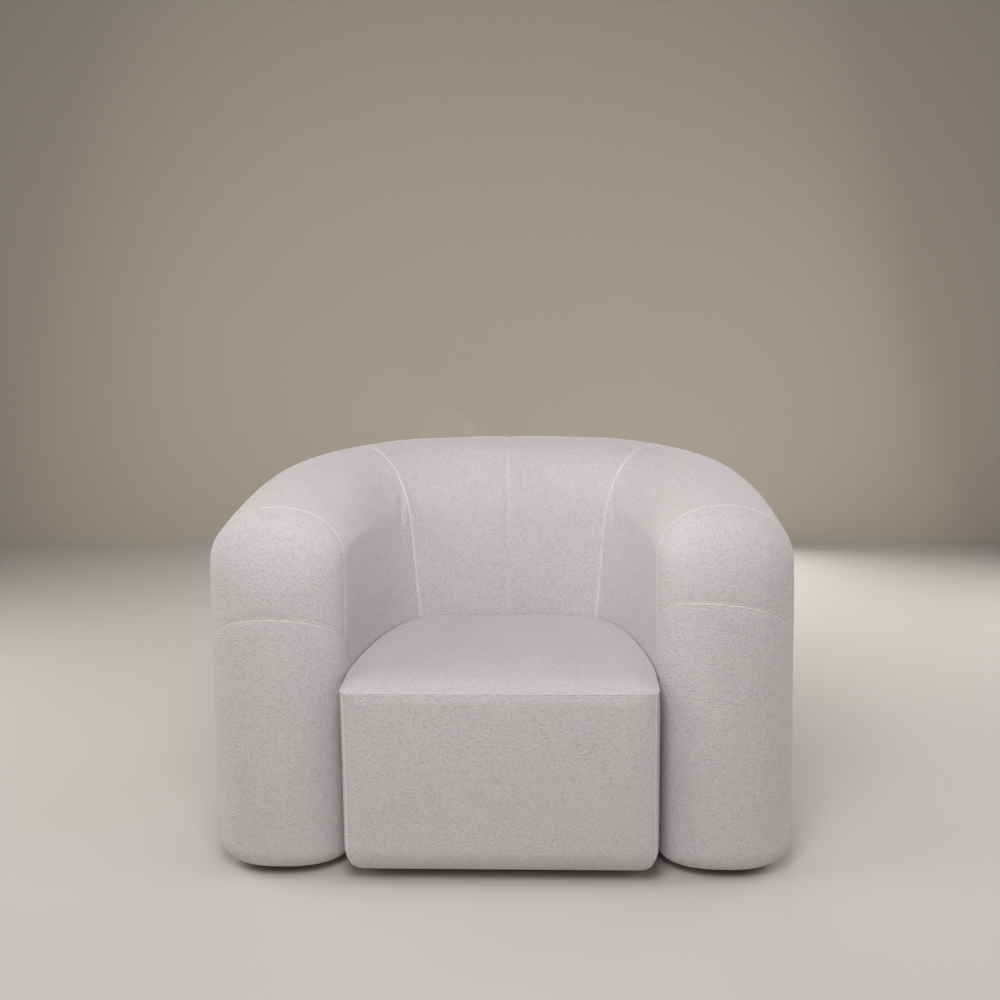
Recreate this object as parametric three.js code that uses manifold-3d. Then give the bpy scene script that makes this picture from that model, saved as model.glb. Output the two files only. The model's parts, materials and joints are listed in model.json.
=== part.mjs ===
// An upholstered tub chair. One padded wall runs as a horseshoe from the rounded front of the left arm,
// round the back, to the rounded front of the right arm. A deep D-shaped seat stands inside it.
// The covers are sewn panels over moulded foam, and the foam is carried by a plywood and timber frame.
// Millimetres, +Z up, the front faces -Y, and the origin is on the floor under the middle of the chair.

import * as THREE from "three";
import { mergeVertices } from "three/addons/utils/BufferGeometryUtils.js";
import Module from "manifold-3d";

const wasm = await Module();
wasm.setup();

// Outside sizes
const chairWidth = 1200;
const chairDepth = 900;
const backHeight = 795;
const armHeight = 745;
const armThickness = 278;
const seatHeight = 415;
const backLean = 72; // how far the inner face of the back leans in, down at the seat
const groundGap = 16;

// Shape of the padded wall
const wallPower = 3.2; // how square the horseshoe is in plan: 2 is an ellipse
const armCrownPower = 2.1; // how square the rounded top is in section, over the arms
const backCrownPower = 2.35; // and over the back
const risePower = 0.8; // how soon the wall rises behind the arm fronts
const noseSetback = 28; // the arms stand this far behind the front of the seat
const noseReach = 110; // how far the rounded front of an arm stands before its cross seam
const sideRound = 106; // height of the rounded top over the sides of an arm
const frontRound = 172; // the same at the front of an arm
const backRound = 184; // the same over the back, where it is deepest
const bottomRound = 45;
const innerFoot = 20; // the same where the arm fronts stand against the seat
const bottomTuck = 10; // the covers are drawn in this much towards the floor
const tuckHeight = 300;
const innerPress = 0.3; // the inner faces press towards the seat by this share of the tuck
const leanPower = 1.3; // how soon the inner face starts to lean, from the arm to the back

// Covers, seams and foam
const coverThickness = 4; // fabric on its wadding
const hemWidth = 30;
const seamSink = 1.6; // how deep a seam pulls the cover in
const seamShoulder = 9; // how far from a seam the cover is full again
const seamGap = 0.5;
const layerGap = 0.6;
const leftLowSeam = { front: 537, tilt: 0 }; // height of the low arm seam, and how far it tips outwards
const rightLowSeam = { front: 567, tilt: 20 };
const lowSeamDrop = 68; // how much lower it is at the sides of the arm than at the front
const cornerSeamAngle = THREE.MathUtils.degToRad(56.5);
const crownFoam = 92; // foam over the frame at the crown
const hiddenHemHeight = 150; // the inner covers end here, behind the seat

// Seat
const seatSideGap = 2;
const seatCornerRadius = 26;
const seatBottomRound = 62;
const seatCrown = 20; // rise of the seat from its top seam to its middle
const seatRollPower = 6; // how soon the seat's top is full behind its seam
const seatTaper = 6; // how much narrower each side of the seat is at the floor
const seatHiddenHem = 190;
const deckHeight = 250; // top of the seat box

// Frame
const boardThickness = 18;
const frameHalf = 80; // half the width of the hollow that the foam leaves for the frame
const skinThickness = 5;
const fitGap = 0.4;
const topRailWidth = 40;
const crossRailHeight = 90;
const crossRailThickness = 22;
const seatBoxInset = 74; // from the side of the seat to its box
const seatBoxClear = 16; // the box ends where the seat is only this much wider
const cornerBlockSize = 94;
const cornerBlockHeight = 45;
const lighteningWidth = 84;
const lighteningMargin = 55;

// Springs, pad, dust cover and feet
const springCount = 5;
const springWire = 3.8;
const springHalfWidth = 24;
const springBends = 8;
const springArch = 14;
const padThickness = 6;
const dustThickness = 1;
const dustInset = 52;
const footRadius = 27;
const footBottomRadius = 23;
const footFillet = 4;
const footClear = 2;
const rearFootShare = 0.86; // how far round towards the rear corner seam the rear feet stand
const weld = 0.001; // points closer than this are one point

// Places worked out from the sizes above
const half = armThickness / 2;
const frontY = -chairDepth / 2;
const noseShare = noseReach / half;
const noseY = frontY + noseSetback + noseReach;
const spanX = chairWidth / 2 - half;
const spanY = chairDepth / 2 - half - noseY;
const seatSeam = seatHeight - seatCrown;
const seatDepth = chairDepth - armThickness - backLean;
const seatHalf = chairWidth / 2 - armThickness - seatSideGap;
const seatBoxHalf = seatHalf - seatBoxInset;
const hemTop = groundGap + coverThickness;
const plateBottom = hemTop + layerGap;
const plateTop = plateBottom + boardThickness;
const quarter = Math.PI / 2;

const fabric = { color: 0xcfc9c8, roughness: 0.95, metalness: 0 };
const foam = { color: 0xe9dfb4, roughness: 0.9, metalness: 0 };
const plywood = { color: 0xc9a06a, roughness: 0.7, metalness: 0 };
const timber = { color: 0xd8b681, roughness: 0.7, metalness: 0 };
const steel = { color: 0x9a9ca0, roughness: 0.35, metalness: 0.9 };
const felt = { color: 0x77736c, roughness: 0.95, metalness: 0 };
const blackCloth = { color: 0x1b1b1c, roughness: 0.9, metalness: 0 };
const blackPlastic = { color: 0x161617, roughness: 0.5, metalness: 0 };

const chair = new THREE.Group();
const rightSide = new THREE.Group();
rightSide.scale.x = -1;
chair.add(rightSide);

function addPiece(name, geometry, finish, parent = chair) {
  const mesh = new THREE.Mesh(geometry, new THREE.MeshStandardMaterial(finish));
  mesh.name = name;
  parent.add(mesh);
  return mesh;
}

// A piece made for the left side stands on the right side too, as its mirror image.
function addPair(name, geometry, finish) {
  return [
    addPiece(`left_${name}`, geometry, finish),
    addPiece(`right_${name}`, geometry, finish, rightSide),
  ];
}

function spread(from, to, steps) {
  return Array.from({ length: steps + 1 }, (_, i) => from + ((to - from) * i) / steps);
}

// Closed geometry from quads, each four points in turn. Flat corners that meet in a point are left out.
function solidFrom(quads) {
  const corners = [];
  const apart = (a, b) => a.distanceTo(b) > weld;
  for (const [a, b, c, d] of quads) {
    for (const [p, q, r] of [[a, b, c], [a, c, d]]) {
      if (apart(p, q) && apart(q, r) && apart(r, p)) corners.push(p, q, r);
    }
  }
  const soup = new THREE.BufferGeometry().setFromPoints(corners);
  const merged = mergeVertices(soup, weld);
  return facingOut(merged);
}

function facingOut(geometry) {
  const at = geometry.getAttribute("position");
  const order = geometry.index.array;
  const [a, b, c] = [new THREE.Vector3(), new THREE.Vector3(), new THREE.Vector3()];
  let volume = 0;
  for (let i = 0; i < order.length; i += 3) {
    a.fromBufferAttribute(at, order[i]);
    b.fromBufferAttribute(at, order[i + 1]);
    c.fromBufferAttribute(at, order[i + 2]);
    volume += a.dot(b.cross(c));
  }
  if (volume < 0) {
    for (let i = 0; i < order.length; i += 3) {
      [order[i + 1], order[i + 2]] = [order[i + 2], order[i + 1]];
    }
  }
  const faceted = geometry.toNonIndexed();
  faceted.computeVertexNormals();
  return faceted;
}

// A shell between two grids of points. closeTop is false where the last row of a grid meets itself.
function shell(outer, inner, closeTop = true) {
  const quads = [];
  const columns = outer.length;
  const rows = outer[0].length;
  for (let i = 0; i + 1 < columns; i++) {
    for (let j = 0; j + 1 < rows; j++) {
      quads.push([outer[i][j], outer[i + 1][j], outer[i + 1][j + 1], outer[i][j + 1]]);
      quads.push([inner[i][j], inner[i][j + 1], inner[i + 1][j + 1], inner[i + 1][j]]);
    }
    quads.push([inner[i][0], inner[i + 1][0], outer[i + 1][0], outer[i][0]]);
    if (closeTop) {
      const k = rows - 1;
      quads.push([outer[i][k], outer[i + 1][k], inner[i + 1][k], inner[i][k]]);
    }
  }
  for (let j = 0; j + 1 < rows; j++) {
    const k = columns - 1;
    quads.push([inner[0][j], outer[0][j], outer[0][j + 1], inner[0][j + 1]]);
    quads.push([outer[k][j], inner[k][j], inner[k][j + 1], outer[k][j + 1]]);
  }
  return solidFrom(quads);
}

// manifold-3d joins and cuts solids.
function toSolid(geometry) {
  const bare = new THREE.BufferGeometry();
  const flat = geometry.index ? geometry.toNonIndexed() : geometry;
  bare.setAttribute("position", flat.getAttribute("position").clone());
  const merged = mergeVertices(bare, weld);
  return new wasm.Manifold(
    new wasm.Mesh({
      numProp: 3,
      vertProperties: new Float32Array(merged.getAttribute("position").array),
      triVerts: new Uint32Array(merged.index.array),
    }),
  );
}

function toGeometry(solid) {
  const mesh = solid.getMesh();
  const geometry = new THREE.BufferGeometry();
  geometry.setAttribute("position", new THREE.BufferAttribute(mesh.vertProperties, 3));
  geometry.setIndex(new THREE.BufferAttribute(mesh.triVerts, 1));
  const faceted = geometry.toNonIndexed();
  faceted.computeVertexNormals();
  return faceted;
}

function boxBetween(low, high) {
  const size = new THREE.Vector3().subVectors(high, low);
  const box = new THREE.BoxGeometry(size.x, size.y, size.z);
  box.translate((low.x + high.x) / 2, (low.y + high.y) / 2, (low.z + high.z) / 2);
  return box;
}

// The horseshoe's centre line in plan: a superellipse about the middle of the arm fronts. angle runs from 0
// at the front of the left arm, by a quarter turn at the middle of the back, to half a turn at the right arm.
function wallCentre(angle) {
  const cos = Math.cos(angle);
  const sin = Math.sin(angle);
  const size = (Math.abs(cos) / spanX) ** wallPower + (sin / spanY) ** wallPower;
  const reach = size ** (-1 / wallPower);
  const outward = new THREE.Vector2(
    (-Math.sign(cos) * Math.abs(cos) ** (wallPower - 1)) / spanX ** wallPower,
    sin ** (wallPower - 1) / spanY ** wallPower,
  ).normalize();
  return { centre: new THREE.Vector2(-reach * cos, noseY + reach * sin), outward };
}

function crownHeight(angle) {
  return armHeight + (backHeight - armHeight) * Math.max(Math.sin(angle), 0) ** risePower;
}

// A station is where a rib of the wall stands: its place, the way it faces and how it is rounded.
function outerStation(angle) {
  const { centre, outward } = wallCentre(angle);
  const behind = Math.sin(angle) ** 2;
  const round = sideRound + (backRound - sideRound) * behind;
  const power = armCrownPower + (backCrownPower - armCrownPower) * behind;
  const crown = crownHeight(angle);
  return { centre, outward, lean: 0, crown, round, power, tuck: 1, foot: bottomRound, low: false };
}

function innerStation(angle) {
  const station = outerStation(angle);
  station.outward = station.outward.clone().negate();
  station.lean = backLean * Math.sin(angle) ** leanPower;
  station.tuck = -innerPress;
  station.low = true;
  return station;
}

// The arm's front is half an ellipse in plan. turn runs from 0 on the outer side of the arm, over the front,
// to half a turn on its inner side.
function noseStation(turn) {
  const { centre } = wallCentre(0);
  const outward = new THREE.Vector2(-Math.cos(turn), -Math.sin(turn) * noseShare);
  const round = sideRound + (frontRound - sideRound) * Math.sin(turn) ** 2;
  const tuck = (1 - innerPress) / 2 + ((1 + innerPress) / 2) * Math.cos(turn);
  const foot = bottomRound - (bottomRound - innerFoot) * Math.max(0, -Math.cos(turn)) ** 2;
  const shape = { round, power: armCrownPower, crown: armHeight, tuck, foot };
  return { centre, outward, lean: 0, ...shape, low: false, turn };
}

function pointAt(station, offset, z) {
  const { centre, outward } = station;
  return new THREE.Vector3(centre.x + outward.x * offset, centre.y + outward.y * offset, z);
}

function leanAt(station, z) {
  const share = (station.crown - z) / (station.crown - seatSeam);
  return station.lean * Math.min(share, 1);
}

function tuckAt(z) {
  return bottomTuck * Math.max(0, 1 - (z - groundGap) / tuckHeight) ** 2;
}

// A point of a rib's side at height z, which may lie in the rounded top.
function sidePoint(station, inset, z) {
  const share = Math.max(0, (z - station.crown + station.round) / (station.round - inset));
  const reach = (half - inset) * (1 - share ** station.power) ** (1 / station.power);
  return pointAt(station, reach - station.tuck * tuckAt(z) + leanAt(station, z), z);
}

// Rows of a rib: under the bottom edge, up the side, and over to the crown.
function tuckedRows(station, inset, steps, withHem = true) {
  const radius = station.foot - inset;
  const side = groundGap + station.foot;
  const corner = half - station.foot - station.tuck * tuckAt(side);
  const rows = spread(0, quarter, steps).map((turn) =>
    pointAt(station, corner + radius * Math.sin(turn), side - radius * Math.cos(turn)),
  );
  const hem = pointAt(station, corner - hemWidth, groundGap + inset);
  return withHem ? [hem, ...rows] : rows;
}

function sideRows(station, inset, from, to, steps) {
  return spread(from, to, steps).map((z) => sidePoint(station, inset, z));
}

function crownRows(station, inset, steps, from = 0) {
  const middle = station.crown - station.round;
  return spread(from, quarter, steps).map((turn) => {
    const cos = Math.max(Math.cos(turn), 0) ** (2 / station.power);
    const sin = Math.sin(turn) ** (2 / station.power);
    const z = middle + (station.round - inset) * sin;
    const full = turn === quarter ? 0 : (half - inset) * cos + leanAt(station, z);
    return pointAt(station, full, z);
  });
}

const crownSteps = 5;
const edgeSteps = 3;
const sideSteps = 3;

function outerRib(station, inset, withHem = true) {
  const sideTop = station.crown - station.round;
  return [
    ...tuckedRows(station, inset, edgeSteps, withHem),
    ...sideRows(station, inset, groundGap + station.foot, sideTop, sideSteps).slice(1, -1),
    ...crownRows(station, inset, crownSteps),
  ];
}

function innerRib(station, inset) {
  return [
    ...sideRows(station, inset, hiddenHemHeight, seatSeam, 1),
    ...crownRows(station, inset, crownSteps),
  ];
}

// Angles across a panel, close to the seams at its two ends and even between them.
function seamed(from, to, steps, shoulder) {
  return [from, ...spread(from + shoulder, to - shoulder, steps), to];
}

// Covers, foam and frame share these places, so that their facets lie side by side.
const sideAngles = seamed(0, cornerSeamAngle, 8, seamShoulder / spanX);
const backAngles = seamed(cornerSeamAngle, quarter, 4, seamShoulder / spanX);
const halfAngles = [...sideAngles, ...backAngles.slice(1)];
const mirrored = (angle) => Math.PI - angle;
const noseTurns = seamed(0, Math.PI, 10, seamShoulder / half);

// The band of cover from one cross seam to the next: up the outside, over the crown and down the inside.
function bandCover(seams) {
  const last = seams.length - 1;
  const opening = seamGap / 2 / spanX;
  const angles = seams.map((angle, i) => angle + (i === 0 ? opening : i === last ? -opening : 0));
  const column = (angle, inset) => [
    ...outerRib(outerStation(angle), inset),
    ...innerRib(innerStation(angle), inset).reverse().slice(1),
  ];
  const outer = angles.map((angle, i) => column(angle, i === 0 || i === last ? seamSink : 0));
  const inner = angles.map((angle) => column(angle, coverThickness));
  return shell(outer, inner);
}

function lowSeamAt(turn, { front, tilt }) {
  return front - lowSeamDrop * (1 - Math.sin(turn)) - tilt * Math.cos(turn);
}

function underLowSeam(station, inset, lowSeam, withHem = true) {
  const top = lowSeamAt(station.turn, lowSeam) - seamGap / 2 - seamShoulder;
  return [
    ...tuckedRows(station, inset, edgeSteps, withHem),
    ...sideRows(station, inset, groundGap + station.foot, top, sideSteps - 1).slice(1),
  ];
}

// The rounded top of the arm's front, from just over the low seam where that seam is high.
function overLowSeam(station, inset, lowSeam) {
  const from = lowSeamAt(station.turn, lowSeam) + 2 * seamShoulder;
  const share = Math.max(0, (from - station.crown + station.round) / station.round);
  return crownRows(station, inset, crownSteps, Math.asin(share ** (station.power / 2)));
}

// The arm's front is two panels wrapped round it, one under and one over the low seam.
function noseCover(upper, lowSeam) {
  const turns = noseTurns.slice().reverse();
  const last = turns.length - 1;
  const side = upper ? 1 : -1;
  const column = (turn, inset, atSeam) => {
    const station = noseStation(turn);
    const seam = lowSeamAt(turn, lowSeam) + (side * seamGap) / 2;
    const sewn = sidePoint(station, atSeam, seam);
    if (!upper) return [...underLowSeam(station, inset, lowSeam), sewn];
    const full = sidePoint(station, inset, seam + seamShoulder);
    return [sewn, full, ...overLowSeam(station, inset, lowSeam)];
  };
  const outer = turns.map((turn, i) =>
    column(turn, i === 0 || i === last ? seamSink : 0, seamSink),
  );
  const inner = turns.map((turn) => column(turn, coverThickness, coverThickness));
  return shell(outer, inner, !upper);
}

// The low seam isn't at the same height on the two arms, so their fronts aren't mirror images.
addPiece("left_arm_front_lower_cover", noseCover(false, leftLowSeam), fabric);
addPiece("left_arm_front_upper_cover", noseCover(true, leftLowSeam), fabric);
addPiece("right_arm_front_lower_cover", noseCover(false, rightLowSeam), fabric, rightSide);
addPiece("right_arm_front_upper_cover", noseCover(true, rightLowSeam), fabric, rightSide);
addPair("arm_side_cover", bandCover(sideAngles), fabric);
addPair("back_cover", bandCover(backAngles), fabric);

// Foam under the covers, hollow where the frame stands.
const foamInset = coverThickness + layerGap;

function foamRib(station) {
  return station.low ? innerRib(station, foamInset) : outerRib(station, foamInset, false);
}

function noseFoamRib(station, lowSeam) {
  return [
    ...underLowSeam(station, foamInset, lowSeam, false),
    ...overLowSeam(station, foamInset, lowSeam),
  ];
}

// The hollow follows the foam's rows: straight up beside the frame, and round over its top.
function hollowRib(station, foamRows) {
  const top = station.crown - crownFoam;
  const straight = foamRows.length - 1 - crownSteps;
  return foamRows.map((point, row) => {
    const shoulder = top - frameHalf / 2;
    if (row < straight) return pointAt(station, frameHalf, Math.min(point.z, shoulder));
    const turn = (quarter * (row - straight)) / crownSteps;
    const offset = row === foamRows.length - 1 ? 0 : frameHalf * Math.cos(turn);
    return pointAt(station, offset, shoulder + (frameHalf / 2) * Math.sin(turn));
  });
}

function bandFoam(angles) {
  const foamColumn = (angle) => [
    ...foamRib(outerStation(angle)),
    ...foamRib(innerStation(angle)).reverse().slice(1),
  ];
  const hollowColumn = (angle) => {
    const [out, into] = [outerStation(angle), innerStation(angle)];
    return [
      ...hollowRib(out, foamRib(out)),
      ...hollowRib(into, foamRib(into)).reverse().slice(1),
    ];
  };
  return shell(angles.map(foamColumn), angles.map(hollowColumn));
}

// The arm's foam turns round the front of the arm, with its two sides a little way back, where they meet
// along the crown.
function armFoam(sides, lowSeam) {
  const columns = [
    ...sides.slice(1).reverse().map((angle) => innerStation(angle)),
    ...noseTurns.slice().reverse().map((turn) => noseStation(turn)),
    ...sides.slice(1).map((angle) => outerStation(angle)),
  ];
  const rows = (station) => {
    if (station.turn !== undefined) return noseFoamRib(station, lowSeam);
    if (!station.low) return foamRib(station);
    return [
      ...sideRows(station, foamInset, hiddenHemHeight, seatSeam, edgeSteps + sideSteps - 1),
      ...crownRows(station, foamInset, crownSteps),
    ];
  };
  const outer = columns.map(rows);
  const inner = columns.map((station, i) => hollowRib(station, outer[i]));
  return shell(outer, inner, false);
}

const armFoamColumns = 5;
const cornerFoamColumns = 9;
const foamSplit = layerGap / spanX;
const armPart = halfAngles.slice(0, armFoamColumns);
const cornerPart = halfAngles.slice(armFoamColumns - 1, armFoamColumns + cornerFoamColumns);
const backPart = halfAngles.slice(armFoamColumns + cornerFoamColumns - 1);
cornerPart[0] += foamSplit;
backPart[0] += foamSplit;
addPiece("left_arm_foam", armFoam(armPart, leftLowSeam), foam);
addPiece("right_arm_foam", armFoam(armPart, rightLowSeam), foam, rightSide);
addPair("corner_foam", bandFoam(cornerPart), foam);
addPiece(
  "back_foam",
  bandFoam([...backPart, ...backPart.slice(0, -1).reverse().map(mirrored)]),
  foam,
);

// Frame of the wall: base plates, ribs, top rails and the bent plywood skins.
function board(points, bottom, thickness) {
  const shape = new THREE.Shape(points.map((p) => new THREE.Vector2(p.x, p.y)));
  const geometry = new THREE.ExtrudeGeometry(shape, { depth: thickness, bevelEnabled: false });
  geometry.translate(0, 0, bottom);
  return geometry;
}

const plateHalf = frameHalf - fitGap;
const ribHalf = plateHalf - skinThickness - fitGap;
const joint = fitGap / spanX;
const armAngles = [...sideAngles.slice(0, -1), cornerSeamAngle - joint];
const backSpan = [...backAngles, ...backAngles.slice(0, -1).reverse().map(mirrored)];

function armPlate() {
  const edge = (station, offset) => pointAt(station, offset, 0);
  const path = [
    ...armAngles.slice(1).reverse().map((angle) => edge(outerStation(angle), -plateHalf)),
    ...noseTurns.slice().reverse().map((turn) => edge(noseStation(turn), plateHalf)),
    ...armAngles.slice(1).map((angle) => edge(outerStation(angle), plateHalf)),
  ];
  return board(path, plateBottom, boardThickness);
}

function backPlate() {
  const edge = (offset) => backSpan.map((angle) => pointAt(outerStation(angle), offset, 0));
  return board([...edge(-plateHalf), ...edge(plateHalf).reverse()], plateBottom, boardThickness);
}

addPair("arm_base_plate", armPlate(), plywood);
addPiece("back_base_plate", backPlate(), plywood);

const frameTopDrop = crownFoam + fitGap;
const railDrop = frameTopDrop + boardThickness / 2;

// A rib stands square across the wall in the middle of a facet, which is where it touches both skins. share
// is how far along the half wall that facet is.
function ribPlace(share) {
  const facet = Math.floor(share * (halfAngles.length - 1));
  const [from, to] = [wallCentre(halfAngles[facet]), wallCentre(halfAngles[facet + 1])];
  const outward = from.outward.clone().lerp(to.outward, 0.5);
  const [near, far] = [crownHeight(halfAngles[facet]), crownHeight(halfAngles[facet + 1])];
  const rise = ((far - near) * boardThickness) / from.centre.distanceTo(to.centre);
  return {
    centre: from.centre.clone().lerp(to.centre, 0.5),
    facing: Math.atan2(outward.y, outward.x),
    halfWidth: ribHalf * outward.length(),
    top: (near + far) / 2 - railDrop,
    rise,
  };
}

// A plywood former across the wall, with a lightening slot and a notch for the top rail.
function ribBoard({ halfWidth, top, rise }) {
  const bottom = plateTop + fitGap;
  const shoulder = frameHalf / 2;
  const notch = topRailWidth / 2 + fitGap;
  const notchBottom = top - boardThickness - fitGap - rise / 2;
  const shape = new THREE.Shape();
  shape.moveTo(-halfWidth, bottom);
  shape.lineTo(halfWidth, bottom);
  shape.lineTo(halfWidth, top - shoulder);
  shape.absellipse(notch, top - shoulder, halfWidth - notch, shoulder, 0, quarter);
  shape.lineTo(notch, notchBottom);
  shape.lineTo(-notch, notchBottom);
  shape.lineTo(-notch, top);
  shape.absellipse(-notch, top - shoulder, halfWidth - notch, shoulder, quarter, Math.PI);
  shape.closePath();
  const slotHalf = lighteningWidth / 2;
  const low = bottom + crossRailHeight + lighteningMargin + slotHalf;
  const high = top - shoulder - lighteningMargin - slotHalf;
  const slot = new THREE.Path();
  slot.absarc(0, high, slotHalf, 0, Math.PI);
  slot.absarc(0, low, slotHalf, Math.PI, 2 * Math.PI);
  slot.closePath();
  shape.holes.push(slot);
  const former = new THREE.ExtrudeGeometry(shape, {
    depth: boardThickness,
    bevelEnabled: false,
    curveSegments: 4,
  });
  former.translate(0, 0, -boardThickness / 2);
  former.rotateX(quarter);
  return former;
}

const ribShares = { arm_rib: 0.07, corner_rib: 0.52, back_rib: 0.83 };
for (const [name, share] of Object.entries(ribShares)) {
  const place = ribPlace(share);
  for (const mesh of addPair(name, ribBoard(place), plywood)) {
    mesh.position.set(place.centre.x, place.centre.y, 0);
    mesh.rotation.z = place.facing;
  }
}

// The top rails lie in the notches of the ribs and follow the wall's rise.
function topRail(angles) {
  const row = (angle, drop) => {
    const station = outerStation(angle);
    const top = station.crown - railDrop - fitGap - drop;
    return [-1, 1].map((side) => pointAt(station, (side * topRailWidth) / 2, top));
  };
  const upper = angles.map((angle) => row(angle, 0));
  const lower = angles.map((angle) => row(angle, boardThickness - fitGap));
  return shell(upper, lower);
}

addPair("arm_top_rail", topRail(armAngles), timber);
addPiece("back_top_rail", topRail(backSpan), timber);

// Bent plywood skins stand on the plates and stiffen the wall on both sides of the ribs.
function skin(stations) {
  const column = (offset) => (station) => {
    const bottom = station.low ? hiddenHemHeight : plateTop + fitGap;
    const top = station.crown - frameTopDrop - frameHalf;
    return [pointAt(station, offset, bottom), pointAt(station, offset, top)];
  };
  return shell(
    stations.map(column(plateHalf)),
    stations.map(column(plateHalf - skinThickness)),
  );
}

const skinGap = fitGap / half;
const noseMiddle = noseTurns.length / 2;
const bandAngles = [...halfAngles.slice(1, -1), quarter - joint];
const outerTurns = [...noseTurns.slice(0, noseMiddle), quarter - skinGap];
const innerTurns = [quarter + skinGap, ...noseTurns.slice(noseMiddle)];
const outerNose = outerTurns.reverse().map((turn) => noseStation(turn));
const innerNose = innerTurns.map((turn) => noseStation(turn));
addPair("outer_skin", skin([...outerNose, ...bandAngles.map(outerStation)]), plywood);
addPair("inner_skin", skin([...innerNose, ...bandAngles.map(innerStation)]), plywood);

// A half-round former holds the skins round the front of each arm.
function noseFormer() {
  const { centre } = wallCentre(0);
  const back = ribPlace(ribShares.arm_rib).centre.y - boardThickness / 2 - fitGap;
  const points = noseTurns
    .slice()
    .reverse()
    .map((turn) => pointAt(noseStation(turn), ribHalf, 0));
  const ends = [1, -1].map((side) => new THREE.Vector3(centre.x + side * ribHalf, back, 0));
  const level = (plateTop + armHeight - crownFoam) / 2;
  return board([ends[0], ...points, ends[1]], level, boardThickness);
}

addPair("arm_nose_former", noseFormer(), plywood);

// The seat box ends where the seat, on its way round to the back, is little wider than the box.
function seatBoxEnd() {
  const places = wallPlaces(halfAngles).map(({ at }) => at);
  const reach = seatBoxHalf + seatBoxClear;
  const k = places.findIndex((at) => -at.x < reach);
  const [from, to] = [places[k - 1], places[k]];
  return from.y + ((to.y - from.y) * (from.x + reach)) / (from.x - to.x);
}

const seatBoxBack = seatBoxEnd();

// Cross rails tie the two arms together under the seat. The front one stands behind a pair of ribs.
const crossRailHalf = spanX + ribHalf - 2 * boardThickness;
const crossRailBottom = plateTop + fitGap;
const ribBack = ribPlace(ribShares.arm_rib).centre.y + boardThickness / 2;
const frontCrossY = ribBack + fitGap + crossRailThickness / 2;
const rearCrossY = seatBoxBack - 2 * boardThickness - crossRailThickness;

function crossRail(middleY) {
  const reach = crossRailThickness / 2;
  return boxBetween(
    new THREE.Vector3(-crossRailHalf, middleY - reach, crossRailBottom),
    new THREE.Vector3(crossRailHalf, middleY + reach, crossRailBottom + crossRailHeight),
  );
}

addPiece("front_cross_rail", crossRail(frontCrossY), timber);
addPiece("rear_cross_rail", crossRail(rearCrossY), timber);

// The seat in plan: places from the middle of its front, round the left side, to the middle of its back.
// Each has the way it faces, and those on the front corner have the corner they turn about.
function frontPlaces(xs) {
  return xs.map((x) => ({ at: new THREE.Vector2(x, frontY), out: new THREE.Vector2(0, -1) }));
}

function cornerPlaces(turns) {
  const corner = new THREE.Vector2(-seatHalf + seatCornerRadius, frontY + seatCornerRadius);
  return turns.map((turn) => {
    const out = new THREE.Vector2(-Math.sin(turn), -Math.cos(turn));
    const ends = turn < quarter / 2 ? new THREE.Vector2(1, 0) : new THREE.Vector2(0, 1);
    return { at: corner.clone().addScaledVector(out, seatCornerRadius), out, corner, ends };
  });
}

function flankPlaces(ys) {
  return ys.map((y) => ({ at: new THREE.Vector2(-seatHalf, y), out: new THREE.Vector2(-1, 0) }));
}

function wallPlaces(angles) {
  return angles.map((angle) => {
    const station = innerStation(angle);
    const reach = half + station.lean + seatSideGap;
    const at = station.centre.clone().addScaledVector(station.outward, reach);
    return { at, out: station.outward.clone().negate(), hidden: angle > 0 };
  });
}

const flip = (v) => v && new THREE.Vector2(-v.x, v.y);
const flipPlace = ({ at, out, corner, ends }) => ({
  at: flip(at),
  out: flip(out),
  corner: flip(corner),
  ends: flip(ends),
});

// Inside the corner's own radius the places draw together on the mitre, and mitreGap keeps two panels apart.
function insetPlace({ at, out, corner, ends }, inset, mitreGap = 0) {
  if (!corner || inset <= seatCornerRadius) return at.clone().addScaledVector(out, -inset);
  const deeper = inset - seatCornerRadius;
  return new THREE.Vector2(
    corner.x - Math.sign(corner.x) * deeper,
    corner.y + deeper,
  ).addScaledVector(ends, mitreGap);
}

function seatPoint(place, inset, z, mitreGap) {
  const taper = seatTaper * Math.max(0, 1 - (z - groundGap) / (seatSeam - groundGap));
  const at = insetPlace(place, inset + taper, mitreGap);
  return new THREE.Vector3(at.x, at.y, z);
}

function seatTuckedRows(place, inset, mitreGap) {
  const radius = seatBottomRound - inset;
  return spread(0, quarter, edgeSteps).map((turn) => {
    const reach = seatBottomRound - radius * Math.sin(turn);
    const z = groundGap + seatBottomRound - radius * Math.cos(turn);
    return seatPoint(place, reach, z, mitreGap);
  });
}

const frontXs = spread(0, -seatHalf + seatCornerRadius, 4).slice(0, -1);
const mitreEndY = frontY + seatTaper + seatBottomRound + hemWidth; // where the mitre of the front hem ends
const flankYs = [(mitreEndY + noseY) / 2];
const wallShare = halfAngles.filter((angle, i) => i % 2 === 0);
const leftPlaces = [
  ...frontPlaces(frontXs),
  ...cornerPlaces(spread(0, quarter, 4)),
  ...flankPlaces(flankYs),
  ...wallPlaces(wallShare),
];
const rightPlaces = leftPlaces.slice(1, -1).reverse().map(flipPlace);
const seatLoop = [...leftPlaces, ...rightPlaces, leftPlaces[0]];

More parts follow.
